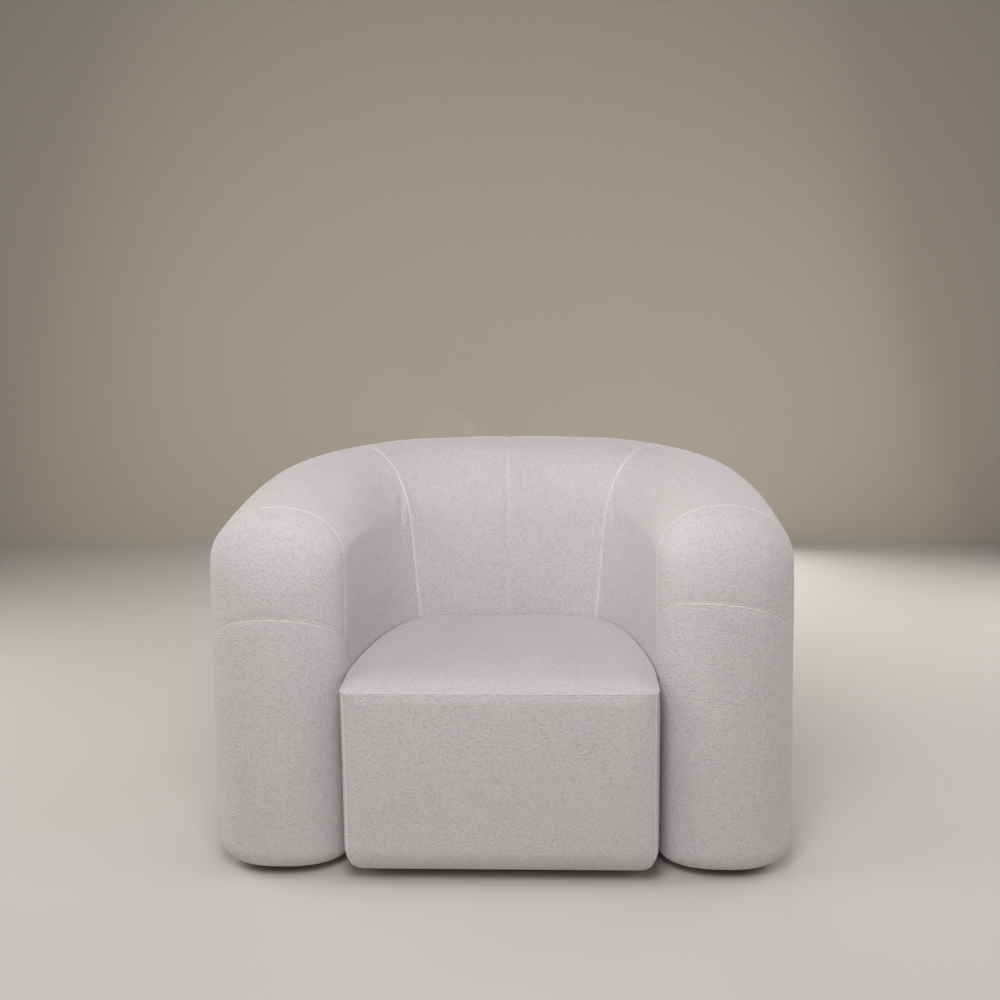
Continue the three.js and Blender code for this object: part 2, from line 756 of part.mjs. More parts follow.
// A panel down the side of the seat, from its top seam to the hem under it.
function seatBorder(places) {
  const last = places.length - 1;
  const rib = (place, inset, sewn, hemInset) => {
    const seam = seatSeam - seamGap / 2;
    const hem = seatPoint(place, seatBottomRound + hemWidth, groundGap + hemInset, seamGap);
    const turned = [hem, ...seatTuckedRows(place, inset, seamGap)];
    const straight = turned.map(({ z }) => seatPoint(place, inset, z));
    return [
      ...(place.hidden ? straight : turned),
      seatPoint(place, inset, seam - seamShoulder),
      seatPoint(place, sewn, seam),
    ];
  };
  const outer = places.map((place, i) =>
    rib(place, i === 0 || i === last ? seamSink : 0, seamSink, 0),
  );
  const inner = places.map((place) => rib(place, coverThickness, coverThickness, coverThickness));
  return shell(outer, inner);
}

// Behind the arm fronts nothing of a side panel shows. It hangs straight there, and is cut away over the
// cross rails.
function hiddenHem(geometry) {
  const low = new THREE.Vector3(-chairWidth, noseY + hemWidth, 0);
  const high = new THREE.Vector3(chairWidth, chairDepth, seatHiddenHem);
  return toGeometry(toSolid(geometry).subtract(toSolid(boxBetween(low, high))));
}

const cornerGap = seamGap / seatCornerRadius / 2;
const frontLeft = [
  ...frontPlaces(frontXs.slice(1)),
  ...cornerPlaces([0, quarter / 4, quarter / 2 - cornerGap]),
];
const frontRight = frontLeft.map(flipPlace).reverse();
const sidePlaces = [
  ...cornerPlaces([quarter / 2 + cornerGap, (3 * quarter) / 4, quarter]),
  ...flankPlaces(flankYs),
  ...wallPlaces([...wallShare.slice(0, -1), quarter - joint]),
];
addPiece(
  "seat_front_cover",
  seatBorder([...frontRight, ...frontPlaces(frontXs.slice(0, 1)), ...frontLeft]),
  fabric,
);
addPair("seat_side_cover", hiddenHem(seatBorder(sidePlaces)), fabric);

// The seat's top rises from its seam in a soft roll, and is a little crowned.
const seatMiddle = new THREE.Vector2(0, frontY + seatDepth / 2);
const topShares = [0, 0.03, 0.09, 0.2, 0.45, 1];

function seatTopRow(place, share, inset, bottom) {
  const at = insetPlace(place, inset).lerp(seatMiddle, share);
  const rise = Math.sqrt(1 - (1 - share) ** seatRollPower);
  return new THREE.Vector3(at.x, at.y, bottom + (seatHeight - inset - bottom) * rise);
}

// A shell or a solid over a closed loop, whose last row is one point.
function roundTop(outer, inner) {
  const quads = [];
  for (let i = 0; i + 1 < outer.length; i++) {
    for (let j = 0; j + 1 < outer[0].length; j++) {
      quads.push([outer[i][j], outer[i + 1][j], outer[i + 1][j + 1], outer[i][j + 1]]);
    }
    for (let j = 0; j + 1 < inner[0].length; j++) {
      quads.push([inner[i][j], inner[i][j + 1], inner[i + 1][j + 1], inner[i + 1][j]]);
    }
    quads.push([inner[i][0], inner[i + 1][0], outer[i + 1][0], outer[i][0]]);
  }
  return solidFrom(quads);
}

function seatTopCover() {
  const seam = seatSeam + seamGap / 2;
  const row = (place, inset, sewn) =>
    topShares.map((share) => seatTopRow(place, share, share === 0 ? sewn : inset, seam));
  return roundTop(
    seatLoop.map((place) => row(place, 0, seamSink)),
    seatLoop.map((place) => row(place, coverThickness, coverThickness)),
  );
}

addPiece("seat_top_cover", seatTopCover(), fabric);

// The seat's foam block, on its felt pad and springs.
const springTop = deckHeight + fitGap + springWire + springArch;
const padBottom = springTop + fitGap;
const foamBottom = padBottom + padThickness + fitGap;

function seatFoam() {
  const outer = seatLoop.map((place) => [
    seatPoint(place, foamInset, foamBottom),
    seatPoint(place, foamInset, seatSeam),
    ...topShares.slice(1).map((share) => seatTopRow(place, share, foamInset, seatSeam)),
  ]);
  const under = new THREE.Vector3(seatMiddle.x, seatMiddle.y, foamBottom);
  return roundTop(outer, outer.map((rows) => [rows[0], under]));
}

addPiece("seat_foam", seatFoam(), foam);

// The pads between the seat box and the lower covers are cut from the solid that those covers enclose.
const padsTop = foamBottom - layerGap;

function seatLowerBody() {
  const outer = seatLoop.map((place) => [
    ...seatTuckedRows(place, foamInset),
    seatPoint(place, foamInset, padsTop),
    new THREE.Vector3(seatMiddle.x, seatMiddle.y, padsTop),
  ]);
  const under = new THREE.Vector3(seatMiddle.x, seatMiddle.y, groundGap + foamInset);
  return toSolid(roundTop(outer, outer.map((rows) => [rows[0], under])));
}

const boxFrontY = frontY + seatBottomRound + seatTaper + layerGap;
const lowerBody = seatLowerBody();

function lowerPad(low, high) {
  return toGeometry(lowerBody.intersect(toSolid(boxBetween(low, high))));
}

addPiece(
  "seat_front_pad",
  lowerPad(
    new THREE.Vector3(-chairWidth, frontY, 0),
    new THREE.Vector3(chairWidth, boxFrontY - layerGap, seatHeight),
  ),
  foam,
);
addPair(
  "seat_side_pad",
  lowerPad(
    new THREE.Vector3(-chairWidth, boxFrontY, 0),
    new THREE.Vector3(-seatBoxHalf - layerGap, noseY, seatHeight),
  ),
  foam,
);

// The seat box: front and rear boards between two side boards, which are notched over the cross rails.
const boxBottom = hemTop + layerGap;
const innerBoxHalf = seatBoxHalf - boardThickness;

function endBoard(nearY) {
  return boxBetween(
    new THREE.Vector3(-innerBoxHalf + fitGap, nearY, boxBottom),
    new THREE.Vector3(innerBoxHalf - fitGap, nearY + boardThickness, deckHeight),
  );
}

addPiece("seat_front_board", endBoard(boxFrontY), plywood);
addPiece("seat_rear_board", endBoard(seatBoxBack - boardThickness), plywood);

function sideBoard() {
  const notchTop = crossRailBottom + crossRailHeight + fitGap;
  const reach = crossRailThickness / 2 + fitGap;
  const notches = [frontCrossY, rearCrossY].flatMap((y) => [
    [y - reach, boxBottom],
    [y - reach, notchTop],
    [y + reach, notchTop],
    [y + reach, boxBottom],
  ]);
  const outline = [
    [boxFrontY, boxBottom],
    ...notches,
    [seatBoxBack, boxBottom],
    [seatBoxBack, deckHeight],
    [boxFrontY, deckHeight],
  ];
  const geometry = board(outline.map(([y, z]) => new THREE.Vector2(y, z)), 0, boardThickness);
  geometry.rotateY(quarter);
  geometry.rotateX(quarter);
  geometry.translate(-seatBoxHalf, 0, 0);
  return geometry;
}

addPair("seat_side_board", sideBoard(), plywood);

// Corner blocks inside the front of the seat box, which the two front feet are fixed to.
function cornerBlock() {
  const side = cornerBlockSize;
  const cut = side - boardThickness;
  const outline = [[0, 0], [side, 0], [side, cut], [cut, side], [0, side]];
  return board(outline.map(([x, y]) => new THREE.Vector2(x, y)), 0, cornerBlockHeight);
}

const blockX = -innerBoxHalf + fitGap;
const blockY = boxFrontY + boardThickness + fitGap;
for (const mesh of addPair("corner_block", cornerBlock(), timber)) {
  mesh.position.set(blockX, blockY, boxBottom);
}

// Zigzag springs run from the front board to the rear board in a shallow arch.
const springLow = deckHeight + fitGap + springWire / 2;
const springFrom = boxFrontY + boardThickness / 2;
const springTo = seatBoxBack - boardThickness / 2;

class Zigzag extends THREE.Curve {
  getPoint(share, target = new THREE.Vector3()) {
    const swing = Math.sin(share * springBends * Math.PI);
    const side = springHalfWidth * Math.sign(swing) * Math.sqrt(Math.abs(swing));
    const along = springFrom + (springTo - springFrom) * share;
    return target.set(side, along, springLow + springArch * Math.sin(share * Math.PI));
  }
}

function zigzagSpring() {
  const section = new THREE.Shape();
  section.absarc(0, 0, springWire / 2, 0, 2 * Math.PI);
  return new THREE.ExtrudeGeometry(section, {
    steps: springBends * 5,
    curveSegments: 3,
    extrudePath: new Zigzag(),
  });
}

const springGeometry = zigzagSpring();
const springPitch = (2 * innerBoxHalf) / springCount;
for (let i = 0; i < springCount; i++) {
  const spring = addPiece(`spring_${i + 1}`, springGeometry, steel);
  spring.position.x = (i - (springCount - 1) / 2) * springPitch;
}

// The felt pad keeps the foam off the springs.
function feltPad() {
  return boxBetween(
    new THREE.Vector3(-innerBoxHalf, boxFrontY, padBottom),
    new THREE.Vector3(innerBoxHalf, seatBoxBack, padBottom + padThickness),
  );
}

addPiece("spring_pad", feltPad(), felt);

// Feet: low plastic glides on the base plates and on the corner blocks.
function footGlide() {
  const bevel = footFillet;
  const profile = [
    [0, 0],
    [footBottomRadius - bevel, 0],
    [footBottomRadius, bevel],
    [footRadius, plateBottom - layerGap - bevel],
    [footRadius, plateBottom - layerGap],
    [0, plateBottom - layerGap],
  ];
  const points = profile.map(([radius, z]) => new THREE.Vector2(radius, z));
  const glide = new THREE.LatheGeometry(points, 16);
  glide.rotateX(quarter);
  return glide;
}

const rearFoot = wallCentre(cornerSeamAngle * rearFootShare).centre;
const footPlaces = {
  arm_foot: wallCentre(0).centre,
  rear_foot: rearFoot,
  seat_foot: new THREE.Vector2(
    blockX + cornerBlockSize - footRadius - footFillet,
    blockY + cornerBlockSize - footRadius - footFillet,
  ),
};
for (const [name, place] of Object.entries(footPlaces)) {
  for (const mesh of addPair(name, footGlide(), blackPlastic)) {
    mesh.position.set(place.x, place.y, 0);
  }
}

// The dust cover closes the underside, with a hole round each foot.
function dustCover() {
  const reach = half - dustInset;
  const side = [
    ...halfAngles.slice(1).reverse().map((angle) => pointAt(outerStation(angle), reach, 0)),
    ...noseTurns.map((turn) => pointAt(noseStation(turn), reach, 0)),
    new THREE.Vector3(-seatHalf + dustInset, noseY + dustInset, 0),
    new THREE.Vector3(-seatHalf + dustInset, frontY + dustInset, 0),
  ].map((p) => new THREE.Vector2(p.x, p.y));
  const shape = new THREE.Shape([...side, ...side.slice(1).reverse().map(flip)]);
  for (const place of Object.values(footPlaces)) {
    for (const middle of [place, flip(place)]) {
      const hole = new THREE.Path();
      hole.absarc(middle.x, middle.y, footRadius + footClear, 0, 2 * Math.PI, true);
      shape.holes.push(hole);
    }
  }
  const geometry = new THREE.ExtrudeGeometry(shape, {
    depth: dustThickness,
    bevelEnabled: false,
    curveSegments: 8,
  });
  geometry.translate(0, 0, groundGap - layerGap - dustThickness);
  return geometry;
}

addPiece("dust_cover", dustCover(), blackCloth);

export default chair;
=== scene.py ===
# %% [markdown]
# # An upholstered tub chair
#
# Such a chair is foam on a wooden frame, covered all over in a pale, nubby loop cloth. One padded wall
# runs as a horseshoe from arm to back to arm, and a deep seat fills the space inside it. The cloth is cut
# in panels, and each seam is a thin sewn line that pulls the cloth in a little.
#
# The frame already exists as exact solids, so this lesson keeps those. Everything soft is made again here,
# panel by panel, because cloth has what a plain solid lacks: turned-in edges, a crease at every seam, and a
# slight swell between seams.

import json
import math

import bmesh
import bpy
import numpy as np
from mathutils import Matrix, Vector
from mathutils.geometry import delaunay_2d_cdt


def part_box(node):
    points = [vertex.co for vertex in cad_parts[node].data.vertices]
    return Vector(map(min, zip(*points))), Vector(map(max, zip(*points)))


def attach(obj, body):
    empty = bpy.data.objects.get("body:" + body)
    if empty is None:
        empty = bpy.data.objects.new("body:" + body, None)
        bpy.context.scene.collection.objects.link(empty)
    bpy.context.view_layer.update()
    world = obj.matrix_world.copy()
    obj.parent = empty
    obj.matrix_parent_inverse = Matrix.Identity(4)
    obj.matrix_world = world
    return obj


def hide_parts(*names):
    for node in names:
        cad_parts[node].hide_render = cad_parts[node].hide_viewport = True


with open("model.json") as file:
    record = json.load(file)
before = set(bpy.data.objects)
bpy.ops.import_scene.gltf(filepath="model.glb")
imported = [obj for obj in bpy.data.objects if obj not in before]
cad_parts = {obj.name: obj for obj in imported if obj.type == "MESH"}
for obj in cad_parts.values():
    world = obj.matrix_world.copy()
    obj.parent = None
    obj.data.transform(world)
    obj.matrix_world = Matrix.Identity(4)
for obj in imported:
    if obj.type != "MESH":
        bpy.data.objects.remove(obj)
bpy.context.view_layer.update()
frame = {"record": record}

# %% [markdown]
# ## The chair's own sizes
#
# Upholsterers work from a few sizes: how wide, how deep and how high, how thick the wall is, and how round
# its top is. All the shapes below are worked out from these, so that every panel meets its neighbour. They
# are in metres.

# %% Sizes
WIDTH, DEPTH = 1.200, 0.900
BACK_HEIGHT, ARM_HEIGHT = 0.795, 0.745
WALL = 0.278
HALF = WALL / 2
SEAT_HEIGHT, SEAT_CROWN = 0.415, 0.020
SEAT_SEAM = SEAT_HEIGHT - SEAT_CROWN
GROUND_GAP = 0.016
BACK_LEAN, LEAN_POWER = 0.072, 1.3
WALL_POWER, RISE_POWER = 3.2, 0.8
ARM_CROWN_POWER, BACK_CROWN_POWER = 2.1, 2.35
SIDE_ROUND, FRONT_ROUND, BACK_ROUND = 0.106, 0.190, 0.184
BOTTOM_ROUND, BOTTOM_TUCK, TUCK_HEIGHT = 0.045, 0.010, 0.300
INNER_FOOT, INNER_PRESS = 0.020, 0.3
HEM, HEM_STEP = 0.030, 0.004
COVER = 0.004
NOSE_SETBACK, NOSE_REACH, NOSE_POWER = 0.028, 0.110, 2.2
FRONT_Y = -DEPTH / 2
NOSE_SHARE = NOSE_REACH / HALF
NOSE_Y = FRONT_Y + NOSE_SETBACK + NOSE_REACH
SPAN_X = WIDTH / 2 - HALF
SPAN_Y = DEPTH / 2 - HALF - NOSE_Y
CORNER_SEAM = math.radians(56.5)
QUARTER = math.pi / 2
INNER_HEM = 0.150
LOW_SEAM_DROP = 0.068
LOW_SEAM = {"left": (0.537, 0.0), "right": (0.567, 0.020)}
SEAT_GAP = 0.002
SEAT_HALF = WIDTH / 2 - WALL - SEAT_GAP
SEAT_CORNER, SEAT_BOTTOM_ROUND = 0.026, 0.062
SEAT_TAPER = 0.006
SEAT_ROLL_POWER = 6
SEAT_MIDDLE = np.array([0.0, FRONT_Y + (DEPTH - WALL - BACK_LEAN) / 2])
SEAT_INNER_HEM = 0.190
print("wall", WALL, "seat seam", SEAT_SEAM, "arm front", NOSE_Y)

# %% [markdown]
# ## The horseshoe in plan
#
# Seen from above, the middle line of the wall is a superellipse: squarer than an ellipse at the rear
# corners, and straight beside the seat. A point on it is found by its angle, and the wall's thickness is
# set off square to it, outwards or inwards. A curve through hand-placed points would do as well, but a
# formula gives the same place to the cover, the foam and the seam.

# %% The wall's middle line and its ribs
def wall_line(angle):
    """Middle line of the wall. Its reach from the middle of the arm fronts is the superellipse's, and the
    way out is the superellipse's gradient. The angle runs from 0 at the left arm to half a turn."""
    cos, sin = np.cos(angle), np.maximum(np.sin(angle), 0)
    size = (np.abs(cos) / SPAN_X) ** WALL_POWER + (sin / SPAN_Y) ** WALL_POWER
    reach = size ** (-1 / WALL_POWER)
    centre = np.stack([-reach * cos, NOSE_Y + reach * sin], -1)
    out = np.stack(
        [
            -np.sign(cos) * np.abs(cos) ** (WALL_POWER - 1) / SPAN_X**WALL_POWER,
            sin ** (WALL_POWER - 1) / SPAN_Y**WALL_POWER,
        ],
        -1,
    )
    return centre, out / np.linalg.norm(out, axis=-1, keepdims=True)


def outer_ribs(angle):
    """Ribs of the wall's outer side: the crown rises from the arm to the back with the sine of the angle,
    and its roundness grows with the sine squared."""
    angle = np.asarray(angle, float)
    centre, out = wall_line(angle)
    sin = np.maximum(np.sin(angle), 0)
    return {
        "centre": centre,
        "out": out,
        "lean": 0 * angle,
        "crown": ARM_HEIGHT + (BACK_HEIGHT - ARM_HEIGHT) * sin**RISE_POWER,
        "round": SIDE_ROUND + (BACK_ROUND - SIDE_ROUND) * sin**2,
        "power": ARM_CROWN_POWER + (BACK_CROWN_POWER - ARM_CROWN_POWER) * sin**2,
        "tuck": 1 + 0 * angle,
        "foot": BOTTOM_ROUND + 0 * angle,
    }


def inner_ribs(angle):
    """Ribs of the wall's inner side: the same crown, facing in, and leaning in more towards the back. Low
    down, the foam presses towards the seat instead of being drawn in."""
    angle = np.asarray(angle, float)
    ribs = outer_ribs(angle)
    lean = BACK_LEAN * np.maximum(np.sin(angle), 0) ** LEAN_POWER
    return {**ribs, "out": -ribs["out"], "lean": lean, "tuck": 0 * angle - INNER_PRESS}


def nose_ribs(turn):
    """Ribs of the arm's front: half a superellipse in plan about the end of the wall's middle line. The turn
    runs from 0 on the outer side of the arm to half a turn on its inner side, and past the front the bottom
    gets less round with the cosine squared."""
    turn = np.asarray(turn, float)
    inner = np.maximum(0, -np.cos(turn)) ** 2
    centre, _ = wall_line(0 * turn)
    cos, sin = np.cos(turn), np.maximum(np.sin(turn), 0)
    across = np.sign(cos) * np.abs(cos) ** (2 / NOSE_POWER)
    out = np.stack([-across, -(sin ** (2 / NOSE_POWER)) * NOSE_SHARE], -1)
    return {
        "centre": centre,
        "out": out,
        "lean": 0 * turn,
        "crown": ARM_HEIGHT + 0 * turn,
        "round": SIDE_ROUND + (FRONT_ROUND - SIDE_ROUND) * np.sin(turn) ** 2,
        "power": ARM_CROWN_POWER + 0 * turn,
        "tuck": (1 - INNER_PRESS) / 2 + (1 + INNER_PRESS) / 2 * np.cos(turn),
        "foot": BOTTOM_ROUND - (BOTTOM_ROUND - INNER_FOOT) * inner,
    }


def rib_points(ribs, offset, z):
    """Points at an offset from the middle line and a height, one column for each rib."""
    flat = ribs["centre"][:, None] + ribs["out"][:, None] * offset[..., None]
    return np.concatenate([flat, z[..., None]], -1)


def lean_at(ribs, z):
    """The inner face's lean at a height: none at the crown, and all of it from the seat's seam down."""
    share = (ribs["crown"][:, None] - z) / (ribs["crown"][:, None] - SEAT_SEAM)
    return ribs["lean"][:, None] * np.minimum(share, 1)


def tuck_at(z):
    """How far the cover is drawn in towards the floor: a square law below a set height."""
    return BOTTOM_TUCK * np.maximum(0, 1 - (z - GROUND_GAP) / TUCK_HEIGHT) ** 2


def side_part(ribs, z, inset=0.0):
    """A rib's side at given heights: straight, then following the superellipse of its rounded top."""
    z = np.broadcast_to(z, (len(ribs["crown"]), np.shape(z)[-1]))
    rise = z - ribs["crown"][:, None] + ribs["round"][:, None]
    share = np.clip(rise / (ribs["round"][:, None] - inset), 0, 1)
    power = ribs["power"][:, None]
    reach = (HALF - inset) * (1 - share**power) ** (1 / power)
    return rib_points(ribs, reach - ribs["tuck"][:, None] * tuck_at(z) + lean_at(ribs, z), z)


def hem_part(ribs, share, inset=0.0):
    """Under the rib: the hem from its edge to the bottom corner, then a quarter round up to the side.
    The share runs from 0 at the hem's edge, by 1 at the corner, to 2 where the side starts."""
    foot = ribs["foot"][:, None]
    radius = foot - inset
    corner = HALF - foot - ribs["tuck"][:, None] * tuck_at(GROUND_GAP + foot)
    turn = np.clip(share - 1, 0, 1) * QUARTER
    offset = corner - HEM * np.clip(1 - share, 0, 1) + radius * np.sin(turn)
    return rib_points(ribs, offset, GROUND_GAP + foot - radius * np.cos(turn))


def crown_part(ribs, turn, inset=0.0):
    """Over the rib's rounded top: a superellipse from its side, at turn 0, to the crown, at a quarter."""
    turn = np.broadcast_to(turn, (len(ribs["crown"]), np.shape(turn)[-1]))
    power = 2 / ribs["power"][:, None]
    cos, sin = np.maximum(np.cos(turn), 0) ** power, np.maximum(np.sin(turn), 0) ** power
    middle = ribs["crown"][:, None] - ribs["round"][:, None]
    z = middle + (ribs["round"][:, None] - inset) * sin
    offset = np.where(turn >= QUARTER - 1e-9, 0, (HALF - inset) * cos + lean_at(ribs, z))
    return rib_points(ribs, offset, z)


print("the wall's middle line at the back", wall_line(np.array([QUARTER]))[0].round(3))

# %% [markdown]
# ## Grids that are fine at the seams
#
# A seam's crease is a few millimetres wide, and the cloth between seams is plain. So each panel is a grid
# whose rows stand less than a millimetre apart beside a seam and some five millimetres apart in the middle.
# A plain even grid would need several times the faces for the same crease.

# %% Spacing and distances
FINE, COARSE, GROWTH = 0.0008, 0.0055, 0.16
MERGE, TINY = 1e-5, 1e-12


def ramp(values, start, length):
    """0 up to the start, rising evenly to 1 at a length beyond it."""
    return np.clip((values - start) / length, 0, 1)


def lengths(points):
    """Length along a line of points, from its start to each point."""
    steps = np.linalg.norm(np.diff(points, axis=0), axis=-1)
    return np.concatenate([[0], np.cumsum(steps)])


def spaced(values, points, seams=(True, True), coarse=COARSE):
    """Values along a line, picked so that their spacing grows from FINE at a seam to coarse away from it.
    The count of steps is the integral of one over the spacing."""
    at = lengths(points)
    away = np.full(len(at), np.inf)
    if seams[0]:
        away = np.minimum(away, at)
    if seams[1]:
        away = np.minimum(away, at[-1] - at)
    step = np.minimum(coarse, FINE + GROWTH * away)
    count = np.concatenate([[0], np.cumsum(np.diff(at) * (1 / step[1:] + 1 / step[:-1]) / 2)])
    return np.interp(np.linspace(0, count[-1], math.ceil(count[-1]) + 1), count, values)


def along(points, axis):
    """Distance from the grid's first row, measured along one axis of the grid."""
    steps = np.linalg.norm(np.diff(points, axis=axis), axis=-1)
    start = np.zeros_like(np.take(steps, [0], axis))
    return np.concatenate([start, np.cumsum(steps, axis)], axis)


def resampled(line, share):
    """Points at the same shares of every column's length, by interpolation between its own points."""
    at = along(line, 1)
    at = at / at[:, -1:]
    after = np.clip((at[:, :, None] < share).sum(1), 1, at.shape[1] - 1)
    low, high = np.take_along_axis(at, after - 1, 1), np.take_along_axis(at, after, 1)
    part = ((share - low) / np.maximum(high - low, TINY))[..., None]
    start = np.take_along_axis(line, (after - 1)[..., None], 1)
    return start + (np.take_along_axis(line, after[..., None], 1) - start) * part


def facing(points, outward):
    """Unit normals of a grid, the cross product of its two directions, and whether the grid's own order
    turns them inwards. outward is roughly the way out, at each point or everywhere."""
    normal = np.cross(np.gradient(points, axis=0), np.gradient(points, axis=1))
    normal = normal / np.maximum(np.linalg.norm(normal, axis=-1, keepdims=True), TINY)
    inside_out = float((normal * outward).sum()) < 0
    return (-normal if inside_out else normal), inside_out


print("spacing from", FINE, "to", COARSE)

# %% [markdown]
# ## From a grid to a mesh
#
# The points are worked out as whole arrays, and one call hands them to Blender. Each point also gets its
# distance from the nearest seam, stored as an attribute, which the cloth's material reads later.

# %% Mesh from a grid
def quads_of(rows, columns, first=0, close=False):
    """Corner numbers of a grid's faces, as one array. close joins the last row to the first."""
    number = first + np.arange(rows * columns).reshape(rows, columns)
    if close:
        number = np.vstack([number, number[:1]])
    corners = [number[:-1, :-1], number[1:, :-1], number[1:, 1:], number[:-1, 1:]]
    return np.stack(corners, -1).reshape(-1, 4)


def new_piece(name, points, quads, seam_distance=None, flip=False):
    """A smooth mesh object from arrays of points and quads. Points closer than a hundredth of a millimetre
    are one point, which closes poles and seams."""
    mesh = bpy.data.meshes.new(name)
    quads = quads[:, ::-1] if flip else quads
    mesh.vertices.add(len(points))
    mesh.vertices.foreach_set("co", np.ascontiguousarray(points, np.float32).ravel())
    mesh.loops.add(quads.size)
    mesh.loops.foreach_set("vertex_index", np.ascontiguousarray(quads, np.int32).ravel())
    mesh.polygons.add(len(quads))
    mesh.polygons.foreach_set("loop_start", np.arange(0, quads.size, 4, dtype=np.int32))
    if seam_distance is not None:
        mesh.attributes.new("seam", "FLOAT", "POINT").data.foreach_set(
            "value", np.ascontiguousarray(seam_distance, np.float32).ravel()
        )
    mesh.update(calc_edges=True)
    mesh.validate()
    shape = bmesh.new()
    shape.from_mesh(mesh)
    bmesh.ops.remove_doubles(shape, verts=shape.verts, dist=MERGE)
    shape.to_mesh(mesh)
    shape.free()
    mesh.shade_smooth()
    piece = bpy.data.objects.new(name, mesh)
    bpy.context.scene.collection.objects.link(piece)
    return piece


def area_of(points):
    """Area of a grid: half the cross product of each face's diagonals."""
    one = points[1:, 1:] - points[:-1, :-1]
    other = points[1:, :-1] - points[:-1, 1:]
    return float(np.linalg.norm(np.cross(one, other), axis=-1).sum() / 2)


print("meshes come from arrays")

# %% [markdown]
# ## What a seam does to the cloth
#
# Two panels are laid face to face, stitched, and folded open. Beside the stitches each panel's fold stands
# up as a small ridge, the line between the two ridges is a crease, and the foam swells back to its full
# height within a finger's width. The rest is a slow, shallow swell, because foam under cloth is never
# quite even.

# %% Seam relief
SWELL_WAVES, SWELL_PITCH, SWELL_HEIGHT, SWELL_FADE = 7, 14, 0.0004, 0.03
TURN_IN = (0.0004, 0.0010)
# These are in millimetres: a height, and then the place or the width of its bell curve.
FOLD, FOLD_AT = 0.5, 1.7
CREASE, CREASE_WIDTH = 1.2, 0.7
DIP, DIP_WIDTH = 0.7, 12.0


def seam_relief(away):
    """Height over the plain surface at a distance from the seam: a narrow ridge, less a sharp crease, less
    a broad shallow dip. Each is a bell curve of the distance."""
    millimetres = away * 1000
    fold = FOLD * np.exp(-((millimetres - FOLD_AT) ** 2))
    crease = CREASE * np.exp(-((millimetres / CREASE_WIDTH) ** 2))
    dip = DIP * np.exp(-((millimetres / DIP_WIDTH) ** 2))
    return (fold - crease - dip) / 1000


def slow_swell(points, seed=0):
    """The foam's unevenness: a sum of a few long, slanting waves, about a millimetre high."""
    rng = np.random.default_rng(seed)
    waves = rng.normal(size=(SWELL_WAVES, 3)) * SWELL_PITCH
    starts = rng.uniform(0, 2 * math.pi, SWELL_WAVES)
    return SWELL_HEIGHT * np.sin(points @ waves.T + starts).sum(-1)


def turned_in(points, normal, away, edges):
    """The grid with its sewn edges turned in: two more rows at each, going down from the edge into the
    crease. Each edge is an axis of the grid, and True for its last row."""
    for axis, last in edges:
        take = [-1 if last else 0]
        rim, way, flat = (np.take(a, take, axis) for a in (points, normal, away))
        rows = [rim - way * depth for depth in TURN_IN]
        sets = [(points, rows), (normal, [way] * len(TURN_IN)), (away, [flat] * len(TURN_IN))]
        points, normal, away = (
            np.concatenate([a, *more] if last else [*more[::-1], a], axis) for a, more in sets
        )
    return points, away


# %% [markdown]
# ## Letting the foam fill the cloth
#
# Covers are cut a little small, so foam presses them out wherever no seam holds them. Flat places swell
# more than round ones, and each swell dies away towards its seams. A cloth simulation does this better than
# a drawn bulge: the panel is pinned at its edges, pressed from inside for twenty frames, and stopped after
# a few millimetres. It runs on a coarse copy, and its movement is carried to the fine grid by splines.

# %% Cloth simulation
FILL_CAP, FILL_STEP, FILL_FRAMES = 0.0035, 0.014, 20


def picked(at, step):
    """Numbers of the rows that stand about a step apart, the first and last among them."""
    wanted = np.linspace(0, at[-1], max(4, int(at[-1] / step)) + 1)
    return np.unique(np.abs(at[None] - wanted[:, None]).argmin(1))


def spline(knots, at):
    """Matrix of the natural cubic spline: it turns values at the knots into values at other places. The
    second derivatives at the knots solve one linear system."""
    n, gap = len(knots), np.diff(knots)
    left, right = np.eye(n), np.zeros((n, n))
    k = np.arange(1, n - 1)
    left[k, k - 1], left[k, k], left[k, k + 1] = gap[:-1], 2 * (gap[:-1] + gap[1:]), gap[1:]
    right[k, k - 1], right[k, k + 1] = 6 / gap[:-1], 6 / gap[1:]
    right[k, k] = -6 / gap[:-1] - 6 / gap[1:]
    bend = np.linalg.solve(left, right)
    cell = np.clip(np.searchsorted(knots, at) - 1, 0, n - 2)
    h = gap[cell][:, None]
    b = ((at - knots[cell]) / gap[cell])[:, None]
    a = 1 - b
    eye = np.eye(n)
    cubic = (a**3 - a) * bend[cell] + (b**3 - b) * bend[cell + 1]
    return a * eye[cell] + b * eye[cell + 1] + cubic * h * h / 6


